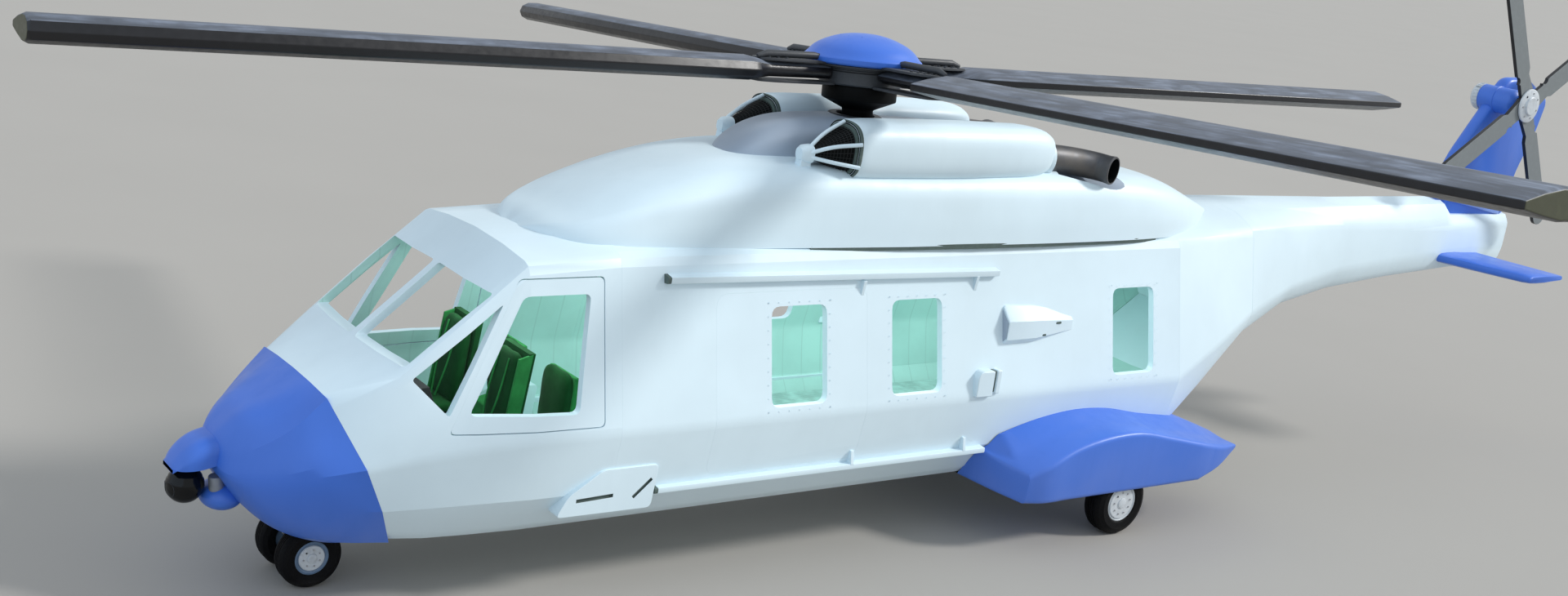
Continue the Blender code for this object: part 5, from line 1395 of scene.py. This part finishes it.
def finish_blade(word, turn):
    """A blade at its turn, with its root plates, bar and bolts."""
    place = ROTOR_PLACE @ Matrix.Rotation(turn, 4, "Z") @ Matrix.Translation((0, 0, BLADE_DROP))
    piece = finish_piece(f"blade_shell_{word}", moved(blade_shape(), place), ("blade", "edge", "tip"),
                         f"rotor_blade_{word}", [f"rotor_blade_{word}"], 44.0)
    round_edges(piece, 0.010, 40.0)
    build = Build()
    for height in PLATE_HEIGHTS:
        plate = prism(eased([(x, y, height) for x, y in PLATE_OUTLINE], 0.05, 3), (0, 0, PLATE_THICKNESS))
        build.add(moved(plate, place), "hub")
    build.add(moved(tube(GRIP_BAR, GRIP_BAR_RADII, 14), place), "hub")
    build.extra(f"blade_grip_{word}", "main_rotor", 0.004, sharp=35.0)
    way = place.to_3x3() @ Vector(UP)
    paths = [([place @ Vector((0.92, y, BOLT_HEIGHT)), place @ Vector((1.10, y * 0.8, BOLT_HEIGHT))], way)
             for y in BOLT_ROWS]
    studs(f"blade_bolts_{word}", paths, 0.014, 0.02, 0.08, "hub", "main_rotor")


class MakeMainRotor(bpy.types.Operator):
    """Make the hub with its plates, the dome and the four blades"""
    bl_idname = "helicopter.main_rotor"
    bl_label = "Main rotor"

    def execute(self, context):
        foot = -(MAST.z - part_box("rotor_hub")[0][2]) / math.cos(ROTOR_LEAN) + 0.012
        build = Build().add(rotor_turned(((0, foot), (0.15, foot)) + MAST_COLLAR), "collar")
        build.add(rotor_turned(HUB_DRUM), "hub").stand_in("rotor_hub_shell", "rotor_hub", "hub_black", 30.0)

        crown = curve_through([(radius, rise, 0) for radius, rise in dome_profile(DOME_CROWN)], 4)
        crown = [(point.x, point.y) for point in crown[:-1]] + [(0.0, crown[-1].y)]
        build = Build().add(rotor_turned(dome_profile(DOME_FOOT) + crown, 64), "blue")
        build.add(rotor_turned(dome_profile(DOME_RIM), 64, True), "blue")
        build.stand_in("rotor_dome_shell", "rotor_dome", "blue_paint", 34.0)

        for index, word in enumerate(("front", "left", "rear", "right")):
            finish_blade(word, ROTOR_TURN + index * math.pi / 2.0)
        ring, height = DOME_BOLTS
        path = ring_path(ROTOR_PLACE @ Vector((0, 0, height)), ROTOR_PLACE.to_3x3() @ Vector(UP), ring)
        studs("dome_bolts", [path], 0.009, 0.012, 0.1257, "pale blue", "main_rotor")
        return {"FINISHED"}


# The fin: its outline as station and z, sections as y and inset, and the pale band at its foot
FIN_OUTLINE = ((-9.78, 3.10), (-10.13, 3.745), (-10.94, 4.75), (-11.43, 4.76), (-11.97, 4.50), (-11.86, 4.05),
               (-11.60, 3.48), (-11.45, 2.86), (-10.10, 2.86), (-10.10, 3.10))
FIN_HALF = 0.09
FIN_INSETS = ((-1.0, 0.055), (-0.8, 0.022), (-0.4, 0.004), (0, 0), (0.4, 0.004), (0.8, 0.022), (1.0, 0.055))
FIN_FOOT = ((-9.72, 0, 3.125), (-10.05, 0.115, 3.12), (-11.3, 0.115, 2.905), (-11.62, 0, 2.90),
            (-11.3, -0.115, 2.905), (-10.05, -0.115, 3.12))
# Stabiliser from root to tip: y, front station, rear station and thickness
STABILISER = ((0.10, -9.80, -10.85, 0.13), (0.60, -9.92, -10.87, 0.13), (1.30, -10.10, -10.925, 0.12),
              (1.40, -10.13, -10.92, 0.10), (1.42, -10.15, -10.90, 0.07))
STABILISER_Z = 2.38
# Its section: distance behind the front and share of the thickness, then the blunt rear edge
STABILISER_FRONT = ((0.0, 0.0), (0.015, 0.30), (0.07, 0.47), (0.20, 0.52), (0.40, 0.50))
STABILISER_REAR = ((0.02, 0.030), (0, 0.012), (0, -0.010), (0.02, -0.020))
# Profiles about the tail rotor's axis, +Y: the gearbox, its cap and the rotor's hub
TAIL_CASE = ((0, -0.1395), (0.165, -0.1395), (0.17, -0.13), (0.17, 0.05), (0.178, 0.055), (0.178, 0.085),
             (0.17, 0.09), (0.17, 0.30), (0.16, 0.32), (0.125, 0.352), (0.115, 0.36), (0.082, 0.36),
             (0.082, 0.25), (0, 0.25))
TAIL_CAP = ((0, -0.268), (0.115, -0.266), (0.135, -0.256), (0.168, -0.225), (0.172, -0.21), (0.172, -0.1405),
            (0, -0.1405))
TAIL_RIDGES = (-0.155, -0.17, -0.185, -0.20)
TAIL_HUB_ROOT = 0.2503
TAIL_HUB = ((0.058, 0.0255), (0.205, 0.0255), (0.22, 0.034), (0.22, 0.052), (0.205, 0.060), (0.125, 0.066),
            (0.12, 0.084), (0.11, 0.09), (0, 0.09))
TAIL_BLADE_TURN = math.radians(-31.0)
TAIL_TIP_CENTRE = 1.715
TAIL_HALF_CHORD = 0.135
TAIL_HALF_THICK = 0.025
TAIL_BORE = 0.0603


class MakeTail(bpy.types.Operator):
    """Make the fin, the stabiliser, the tail gearbox and the tail rotor"""
    bl_idname = "helicopter.tail"
    bl_label = "Tail"

    def execute(self, context):
        self.make_fin()
        self.make_stabiliser()
        self.make_gearbox()
        self.make_rotor()
        return {"FINISHED"}

    def make_fin(self):
        """The fin, rounded towards its edges, and the band at its foot."""
        outline = [at(station, 0, z) for station, z in FIN_OUTLINE]
        middle = sum(outline, Vector()) / len(outline)
        outline = eased(outline, 0.10)
        rows = [[point + (middle - point).normalized() * inset + Vector((0, share * FIN_HALF, 0))
                 for point in outline] for share, inset in FIN_INSETS]
        Build().add(skin(rows), "blue").stand_in("fin_shell", "tail_fin", "blue_paint", 50.0)
        band = prism(eased(placed(FIN_FOOT), 0.10, 3), (0, 0, 0.10))
        Build().add(band, "pale blue").extra("fin_foot", "airframe", 0.02, sharp=40.0)

    def make_stabiliser(self):
        """The one-sided stabiliser."""
        rows = []
        for y, front, rear, thick in STABILISER:
            upper = [(front - back, share * thick) for back, share in STABILISER_FRONT]
            lower = [(station, -z) for station, z in reversed(upper[1:])]
            section = upper + [(rear + ahead, z) for ahead, z in STABILISER_REAR] + lower
            rows.append([at(station, y, STABILISER_Z + z) for station, z in section])
        Build().add(skin(rows), "blue").stand_in("stabiliser_shell", "stabiliser", "blue_paint", 46.0)

    def make_gearbox(self):
        """The gearbox and its cap with fine ridges."""
        middle = Vector((TAIL_ROTOR.x, 0.0, TAIL_ROTOR.z))
        Build().add(turned(TAIL_CASE, middle, PORT, 64), "blue").stand_in(
            "tail_gearbox_shell", "tail_gearbox", "blue_paint", 30.0)
        Build().add(turned(TAIL_CAP, middle, PORT, 64), "rim").stand_in(
            "tail_gearbox_cap_shell", "tail_gearbox_cap", "white_paint", 30.0)
        rings = [ring_path(middle + Vector((0, along, 0)), PORT, 0.171, 48, True) for along in TAIL_RIDGES]
        studs("tail_cap_ridges", rings, 0.009, 0.014, 0.0448, "rim", "airframe")

    def make_rotor(self):
        """Four blades in one slab, dark at their edges, and the hub."""
        half = TAIL_HALF_CHORD
        arm = [(0.16, -0.10), (0.36, -0.10)] + arc((0.43, -0.155), 0.065, 150, 20, 4) + [(0.53, -half)]
        arm += arc((TAIL_TIP_CENTRE, 0.0), half, -90, 90, 14) + [(0.50, half), (0.42, 0.10)]
        outline = []
        for index in range(4):
            turn = TAIL_BLADE_TURN + index * math.pi / 2.0
            for x, z in arm:
                outline.append(TAIL_ROTOR + Vector((x * math.cos(turn) - z * math.sin(turn), -TAIL_HALF_THICK,
                                                    x * math.sin(turn) + z * math.cos(turn))))
        slab = prism(outline, (0, 2 * TAIL_HALF_THICK, 0))
        for face in slab.faces:
            face.material_index = 0 if abs(face.normal.y) > 0.5 else 1
        slab = carved(slab, cylinder(TAIL_BORE, -0.3, 0.3, TAIL_ROTOR, PORT, 32))
        Build().add(slab, "tail", "edge").stand_in(
            "tail_blades_shell", "tail_rotor_blades", "blade_grey", 40.0, 0.004)
        root = TAIL_HUB_ROOT - TAIL_ROTOR.y
        hub = turned(((0, root), (0.058, root)) + TAIL_HUB, TAIL_ROTOR, PORT, 56)
        Build().add(hub, "rim").stand_in("tail_hub_shell", "tail_rotor_hub", "white_paint", 30.0)
        ring = ring_path(TAIL_ROTOR + Vector((0, 0.063, 0)), PORT, 0.165)
        studs("tail_hub_bolts", [ring], 0.012, 0.012, 0.1296, "steel", "tail_rotor")


# Rails: name, section as y and z, rise of the front end, and the gussets' z and height
RAILS = (("upper", ((0.90, 2.62), (1.075, 2.638), (1.08, 2.66), (1.08, 2.695), (0.90, 2.73)),
          0.06, 2.65, -0.16),
         ("lower", ((1.10, 0.88), (1.265, 0.895), (1.27, 0.92), (1.265, 0.945), (1.10, 0.96)),
          0.0, 0.94, 0.13))
RAIL_REAR = -1.20
RAIL_FRONT = 2.60
RAIL_CAP = 0.035
GUSSET_STATIONS = (-0.94, 0.46)
STEP_OUTLINE = ((3.58, 0.785), (3.48, 0.96), (3.165, 1.165), (2.62, 1.165), (2.66, 0.78))
STEP_INNER_Y = 0.9
STEP_FACE = 1.265
STEP_SLOTS = (((3.40, 0.90), (3.05, 0.915), (3.05, 0.945), (3.40, 0.93)),
              ((2.86, 0.90), (2.69, 1.05), (2.67, 1.03), (2.84, 0.88)))
SLOT_DEPTH = 0.02
# The eight-sided fairing: station, share of its size and outer y; its front face and two slots
OCTAGON_MIDDLE = (1.03, 2.12)
OCTAGON_HALF = 0.245
OCTAGON_RUN = ((-1.30, 0.94, 1.235), (-1.32, 1.0, 1.24), (-1.70, 0.94, 1.24), (-2.25, 0.52, 1.165))
OCTAGON_TURNS = tuple(math.pi / 8 + index * math.pi / 4 for index in range(8))
OCTAGON_FACE = (-1.297, 0.195, 0.20)
OCTAGON_SLOTS = ((-2.05, 2.15, 1.192), (-1.84, 2.04, 1.213))
OCTAGON_SLOT_INNER_Y = 1.12
OCTAGON_SLOT_SIZE = (0.07, 0.022)
# The small housing: parts as (station, z) outline, outer y and finish; the recessed middle part is painted dark as
# shade
HOUSING = (([(-0.91, 1.50)] + arc((-0.985, 1.685), 0.075, 0, 90, 5) + [(-1.12, 1.755), (-1.12, 1.50)],
            1.325, "white"),
           (((-1.165, 1.52), (-1.165, 1.755), (-1.225, 1.755), (-1.225, 1.52)), 1.312, "white"),
           (((-1.12, 1.53), (-1.12, 1.75), (-1.165, 1.75), (-1.165, 1.53)), 1.295, "groove"))
HOUSING_INNER_Y = 1.20


class MakeSideFittings(bpy.types.Operator):
    """Make the rails with their gussets, the step panels, the octagonal fairings and the small housings"""
    bl_idname = "helicopter.side_fittings"
    bl_label = "Side fittings"

    def execute(self, context):
        for side, word in SIDES:
            for rail in RAILS:
                self.make_rail(side, word, *rail)
            self.make_step(side, word)
            self.make_fairing(side, word)
            build = Build()
            for outline, outer_y, finish in HOUSING:
                build.add(side_prism(outline, side * HOUSING_INNER_Y, side * outer_y), finish)
            build.extra(f"side_housing_{word}", "airframe", 0.012)
        return {"FINISHED"}

    def make_rail(self, side, word, name, section, rise, gusset_z, gusset_height):
        """A rail with its front end painted dark as shade, and two gussets."""
        rows = [[at(station, side * y, z + lift) for y, z in section]
                for station, lift in ((RAIL_REAR, 0.0), (RAIL_FRONT, rise))]
        build = Build().add(skin(rows), "white")
        build.add(prism(eased(rows[-1], 0.015, 3), (RAIL_CAP, 0, 0)), "groove")
        out, far_z = section[1][0], gusset_z + gusset_height
        gusset = ((out - 0.1, gusset_z), (out + 0.005, gusset_z), (out - 0.02, far_z), (out - 0.1, far_z))
        for station in GUSSET_STATIONS:
            corners = [at(station, side * y, z) for y, z in gusset]
            build.add(prism(corners, (RAIL_CAP, 0, 0)), "white")
        build.stand_in(f"{name}_rail_shell_{word}", f"{name}_rail_{word}", "white_paint", rounding=0.006)

    def make_step(self, side, word):
        """A step panel with two slots, their cut faces painted dark as shade."""
        corners = eased([at(station, side * STEP_INNER_Y, z) for station, z in STEP_OUTLINE], 0.05)
        panel = prism(corners, (0, side * (STEP_FACE - STEP_INNER_Y), 0))
        slots = [prism([at(station, side * (STEP_FACE - SLOT_DEPTH), z) for station, z in slot],
                       (0, side * 0.1, 0)) for slot in STEP_SLOTS]
        Build().add(carved(panel, *slots), "white", "groove").stand_in(
            f"step_panel_shell_{word}", f"step_panel_{word}", "white_paint", rounding=0.006)

    def make_fairing(self, side, word):
        """The fairing with its front face painted grey as shade, and its slots, painted dark as shade, as a piece
        of their own.
        """
        middle_y, middle_z = OCTAGON_MIDDLE
        rows = [[at(station, side * (middle_y + (out_y - middle_y) * math.cos(turn)),
                    middle_z + OCTAGON_HALF * size * math.sin(turn)) for turn in OCTAGON_TURNS]
                for station, size, out_y in OCTAGON_RUN]
        station, half_y, half_z = OCTAGON_FACE
        face = [at(station, side * (middle_y + half_y * math.cos(turn)), middle_z + half_z * math.sin(turn))
                for turn in OCTAGON_TURNS]
        Build().add(skin(rows), "white").add(prism(face, (0.004, 0, 0)), "fairing").stand_in(
            f"side_fairing_shell_{word}", f"side_fairing_{word}", "white_paint", 30.0, 0.008)
        slots = Build()
        length, height = OCTAGON_SLOT_SIZE
        for station, z, out_y in OCTAGON_SLOTS:
            low, high = (station, OCTAGON_SLOT_INNER_Y, z), (station + length, out_y, z + height)
            slots.add(side_block(side, low, high), "groove")
        slots.extra(f"side_slots_{word}", "airframe", 0.004)


# Seats, as (station, z) outlines from a point on the floor
FLOOR_Z = 0.86
SEAT_STATION = 3.72
SEAT_Y = 0.48
SEAT_HALF = 0.24
SEAT_BASE = ((0.03, 0.0), (0.30, 0.0), (0.27, 0.28), (0.01, 0.28))
SEAT_PAN = ((0.0, 0.28), (0.49, 0.30), (0.49, 0.345), (0.02, 0.335))
SEAT_BACK = ((-0.005, 0.29), (0.03, 0.30), (-0.055, 1.17), (-0.115, 1.17))
SEAT_SIDE = ((0.02, 0.32), (0.14, 0.40), (0.04, 1.13), (-0.09, 1.165))
SEAT_SIDE_WIDTH = 0.026
# A belt: distance ahead, share of its distance from the middle, and height
BELT = ((0.055, 1.0, 1.10), (0.13, 1.0, 0.75), (0.19, 0.4, 0.45))
BELT_Y = (-0.09, 0.09)
# Cushions: distance ahead and height of the middle, size, and lean
BACK_CUSHION = (0.035, 0.76, (0.80, 0.42, 0.11), math.radians(85.0))
SEAT_CUSHION = (0.265, 0.385, (0.44, 0.44, 0.10), 0.0)
REAR_CUSHION = (0.0, 0.65, (0.60, 0.45, 0.10), math.radians(88.0))
REAR_SEAT_STATION = 3.24
REAR_SEAT = ((-0.06, 0.0), (0.16, 0.0), (0.15, 0.30), (-0.01, 0.34), (-0.04, 0.925), (-0.10, 0.915))
PILLOW_ROWS = 10
PILLOW_SIDES = 48
PILLOW_SQUARENESS = 0.42
PILLOW_PULL = 0.035
PILLOW_CROWN = 0.35
PILLOW_END = 0.55
# The instrument panel and its pedestal, and the displays' foot and head as station and height
PANEL = ((4.67, 0.50), (4.72, 0.90), (4.50, 0.92), (4.42, 0.72), (4.30, 0.50))
PANEL_HALF = 0.62
PEDESTAL = ((4.34, 0.0), (4.44, 0.0), (4.67, 0.52), (4.40, 0.60), (4.31, 0.52))
PEDESTAL_HALF = 0.14
DISPLAY_FOOT = (4.431, 0.745)
DISPLAY_HEAD = (4.482, 0.885)
DISPLAY_Y = (-0.45, -0.22, 0.0, 0.22, 0.45)
DISPLAY_HALF = 0.085
DISPLAY_WAY = Vector((-0.20, 0.0, 0.08))
DISPLAY_THICKNESS = 0.012


def cushion(size):
    """A crowned cushion whose sides pull in between its corners; size is along X, Y and Z."""
    rows = []
    for row in range(PILLOW_ROWS + 1):
        level = -1.0 + 2.0 * row / PILLOW_ROWS
        full = (1.0 - abs(level) ** 3.2) ** PILLOW_SQUARENESS if abs(level) < 1.0 else 0.0
        ring = []
        for step in range(PILLOW_SIDES):
            turn = math.tau * step / PILLOW_SIDES
            x, y = boxy(math.cos(turn), PILLOW_SQUARENESS), boxy(math.sin(turn), PILLOW_SQUARENESS)
            reach = (1.0 - PILLOW_PULL * (1.0 - abs(x * y) ** 0.5)) * (PILLOW_END + (1.0 - PILLOW_END) * full)
            swell = 1.0 + PILLOW_CROWN * (1.0 - x * x) * (1.0 - y * y)
            ring.append(Vector((0.5 * size[0] * x * reach, 0.5 * size[1] * y * reach,
                                0.5 * size[2] * level * swell)))
        rows.append(ring)
    return skin(rows)


def add_cushion(name, body_or_node, station, y, sizes):
    """A padded piece on a seat, from the seat's station and y."""
    ahead, height, size, lean = sizes
    place = Matrix.Translation(at(station + ahead, y, FLOOR_Z + height)) @ Matrix.Rotation(lean, 4, "Y")
    piece = finish_piece(name, moved(cushion(size), place), ("seat",), body_or_node, (), 60.0)


class MakeCockpit(bpy.types.Operator):
    """Make the pilots' seats with their cushions and belts, the rear seats and the instrument panel"""
    bl_idname = "helicopter.cockpit"
    bl_label = "Cockpit"

    def execute(self, context):
        for side, word in SIDES:
            self.make_seat(side, word)
            self.make_rear_seat(side, word)
        self.make_panel()
        return {"FINISHED"}

    def make_seat(self, side, word):
        """A pilot's seat with two belts and two cushions."""
        middle, node = side * SEAT_Y, f"pilot_seat_{word}"
        low, high = middle - SEAT_HALF + 0.01, middle + SEAT_HALF - 0.01
        build = Build()
        for outline, inset, finish in ((SEAT_BASE, 0.05, "hub"), (SEAT_PAN, 0.0, "panel"),
                                       (SEAT_BACK, 0.0, "seat")):
            build.add(side_prism(shifted(outline, SEAT_STATION, FLOOR_Z), low + inset, high - inset), finish)
        outboard = middle + side * (SEAT_HALF - 0.03)
        build.add(side_prism(shifted(SEAT_SIDE, SEAT_STATION, FLOOR_Z),
                             *sorted((outboard, outboard + side * SEAT_SIDE_WIDTH))), "seat side")
        for belt_y in BELT_Y:
            path = [at(SEAT_STATION + ahead, middle + belt_y * share, FLOOR_Z + height)
                    for ahead, share, height in BELT]
            build.add(tube(curve_through(path, 5), 0.009, 8), "seat side")
        build.stand_in(f"pilot_seat_frame_{word}", node, "seat_fabric", rounding=0.012)
        add_cushion(f"seat_back_cushion_{word}", node, SEAT_STATION, middle, BACK_CUSHION)
        add_cushion(f"seat_cushion_{word}", node, SEAT_STATION, middle, SEAT_CUSHION)

    def make_rear_seat(self, side, word):
        """A lower seat behind the pilot's, with one cushion."""
        middle = side * SEAT_Y
        low, high = middle - SEAT_HALF + 0.01, middle + SEAT_HALF - 0.01
        rest = side_prism(shifted(REAR_SEAT, REAR_SEAT_STATION, FLOOR_Z), low, high)
        Build().add(rest, "seat side").extra(f"rear_seat_frame_{word}", "airframe", 0.015, "seat_fabric")
        add_cushion(f"rear_seat_cushion_{word}", "airframe", REAR_SEAT_STATION, middle, REAR_CUSHION)

    def make_panel(self):
        """The instrument panel with its pedestal and five dark displays."""
        build = Build()
        for outline, half in ((PANEL, PANEL_HALF), (PEDESTAL, PEDESTAL_HALF)):
            build.add(side_prism(shifted(outline, 0.0, FLOOR_Z), -half, half), "panel")
        (foot, foot_z), (head, head_z) = shifted((DISPLAY_FOOT, DISPLAY_HEAD), 0.0, FLOOR_Z)
        for y in DISPLAY_Y:
            low, high = y - DISPLAY_HALF, y + DISPLAY_HALF
            display = [at(foot, low, foot_z), at(foot, high, foot_z),
                       at(head, high, head_z), at(head, low, head_z)]
            build.add(prism(display, DISPLAY_WAY.normalized() * DISPLAY_THICKNESS), "glass")
        build.stand_in("instrument_panel_shell", "instrument_panel", rounding=0.008)


# Fasteners around the windows on the flat cabin sides, whose lower and upper edges are y and z
SIDE_LOW = (1.30, 1.49)
SIDE_HIGH = (0.97, 2.92)
WINDOW_FRONTS = (1.51, 0.12, -2.86)
WINDOW_WIDTH = 0.62
WINDOW_LOW_Z = 1.578
WINDOW_HIGH_Z = 2.45
FASTENER_MARGIN = 0.035
FASTENER_HEIGHT = 0.003


def on_side(side, station, z):
    """The point of the cabin's flat side at a station and height."""
    share = (z - SIDE_LOW[1]) / (SIDE_HIGH[1] - SIDE_LOW[1])
    return at(station, side * (SIDE_LOW[0] + share * (SIDE_HIGH[0] - SIDE_LOW[0])), z)


class MakeFasteners(bpy.types.Operator):
    """Set rows of small fasteners around the cabin windows"""
    bl_idname = "helicopter.fasteners"
    bl_label = "Fasteners"

    def execute(self, context):
        rise = Vector((0, SIDE_HIGH[1] - SIDE_LOW[1], SIDE_LOW[0] - SIDE_HIGH[0])).normalized()
        low, high = WINDOW_LOW_Z - FASTENER_MARGIN, WINDOW_HIGH_Z + FASTENER_MARGIN
        for side, word in SIDES:
            out = Vector((0, side * rise.y, rise.z))
            paths = []
            for window in WINDOW_FRONTS:
                front, rear = window + FASTENER_MARGIN, window - WINDOW_WIDTH - FASTENER_MARGIN
                corners = [on_side(side, station, z) for station, z in
                           ((front, low), (front, high), (rear, high), (rear, low))]
                for index, corner in enumerate(corners):
                    paths.append(([corner, corners[(index + 1) % 4]], out))
            studs(f"window_fasteners_{word}", paths, size_of("rivet_radius"), FASTENER_HEIGHT,
                  size_of("rivet_spacing"), "white", "airframe")
        return {"FINISHED"}


# The solids that stay in view
PLAIN_NODES = {"engine_left": "steel", "engine_right": "steel", "main_gearbox": "steel",
               "cabin_floor": "ribs", "cockpit_floor": "ribs"}


class PaintPlainNodes(bpy.types.Operator):
    """Give each CAD node that stays in view its finish"""
    bl_idname = "helicopter.plain_nodes"
    bl_label = "Plain solids"

    def execute(self, context):
        for node, finish in PLAIN_NODES.items():
            materials = frame["nodes"][node].data.materials
            materials.clear()
            materials.append(paint(finish))
        bare = [name for name, made in frame["nodes"].items()
                if not made.hide_render and name not in PLAIN_NODES]
        if bare:
            raise RuntimeError(f"nodes left without a finish: {bare}")
        return {"FINISHED"}


# The stage
def add_lamp(name, kind, strength, colour, place):
    """A lamp at a place, or from a direction for a sun."""
    lamp = bpy.data.lights.new(name, kind)
    lamp.energy = strength
    lamp.color = colour
    made = linked(name, lamp)
    if kind == "SUN":
        made.rotation_euler = Vector(place).to_track_quat("Z", "Y").to_euler()
    else:
        made.location = place
    return lamp


def make_camera():
    """The camera at the photograph's place, with its heading, look and roll."""
    heading, down, roll = CAMERA_HEADING, CAMERA_LOOK_DOWN, CAMERA_ROLL
    back = Vector((math.sin(heading) * math.cos(down), -math.cos(heading) * math.cos(down), math.sin(down)))
    right = Vector((math.cos(heading), math.sin(heading), 0.0))
    up = back.cross(right)
    across = right * math.cos(roll) - up * math.sin(roll)
    upward = right * math.sin(roll) + up * math.cos(roll)
    data = bpy.data.cameras.new("photo camera")
    data.sensor_width = SENSOR_WIDTH_MM
    data.lens = CAMERA_LENS_MM
    data.shift_y = CAMERA_SHIFT_Y
    data.clip_end = CAMERA_REACH
    camera = linked("photo camera", data)
    turn = Matrix((across, upward, back)).transposed()
    camera.matrix_world = Matrix.Translation(CAMERA_PLACE) @ turn.to_4x4()
    return camera


class MakeStage(bpy.types.Operator):
    """Set the floor, the light and the camera"""
    bl_idname = "helicopter.stage"
    bl_label = "Stage"

    def execute(self, context):
        corners = [(x * STAGE_REACH, y * STAGE_REACH, 0.0) for x, y in ((-1, -1), (1, -1), (1, 1), (-1, 1))]
        mesh = bpy.data.meshes.new("studio_floor")
        mesh.from_pydata(corners, [], [(0, 1, 2, 3)])
        mesh.materials.append(paint("studio"))
        linked("studio_floor", mesh)
        lamp = add_lamp("studio lamp", "SUN", LAMP_STRENGTH, LAMP_COLOUR, LAMP_FROM)
        lamp.angle = size_of("lamp_width")
        add_lamp("fill lamp", "SUN", FILL_STRENGTH, FILL_COLOUR, FILL_FROM).angle = FILL_WIDTH
        for index, (station, z, watts, length, width) in enumerate(CEILING_LAMPS):
            lamp = add_lamp(f"ceiling lamp {index + 1}", "AREA", watts, CEILING_COLOUR, at(station, 0, z))
            lamp.shape = "RECTANGLE"
            lamp.size = length
            lamp.size_y = width
        world = bpy.data.worlds.new("studio")
        world.use_nodes = True
        background = world.node_tree.nodes["Background"].inputs
        background["Color"].default_value = (*WORLD_COLOUR, 1.0)
        background["Strength"].default_value = WORLD_STRENGTH
        context.scene.world = world
        context.scene.view_settings.view_transform = "Standard"
        context.scene.camera = make_camera()
        return {"FINISHED"}


OPERATORS = (MakeStage, MakeHull, MakeNose, MakeSensor, MakeCowling, MakeEngines, MakeSponsons, MakeGear,
             MakeMainRotor, MakeTail, MakeSideFittings, MakeCockpit, MakeFasteners, PaintPlainNodes)


class HelicopterPanel(bpy.types.Panel):
    """The helicopter's pieces and settings"""
    bl_idname = "VIEW3D_PT_helicopter"
    bl_label = "Helicopter"
    bl_space_type = "VIEW_3D"
    bl_region_type = "UI"
    bl_category = "Helicopter"

    def draw(self, context):
        for group in (context.scene.helicopter_colours, context.scene.helicopter_sizes):
            for name in group.__annotations__:
                self.layout.prop(group, name)
        for operator in OPERATORS:
            self.layout.operator(operator.bl_idname)


CLASSES = (HelicopterColours, HelicopterSizes) + OPERATORS + (HelicopterPanel,)


def register():
    for item in CLASSES:
        bpy.utils.register_class(item)
    bpy.types.Scene.helicopter_colours = bpy.props.PointerProperty(type=HelicopterColours)
    bpy.types.Scene.helicopter_sizes = bpy.props.PointerProperty(type=HelicopterSizes)


def unregister():
    del bpy.types.Scene.helicopter_sizes
    del bpy.types.Scene.helicopter_colours
    for item in reversed(CLASSES):
        bpy.utils.unregister_class(item)


def main():
    register()
    for operator in OPERATORS:
        group, name = operator.bl_idname.split(".")
        getattr(getattr(bpy.ops, group), name)()


if __name__ == "__main__":
    main()
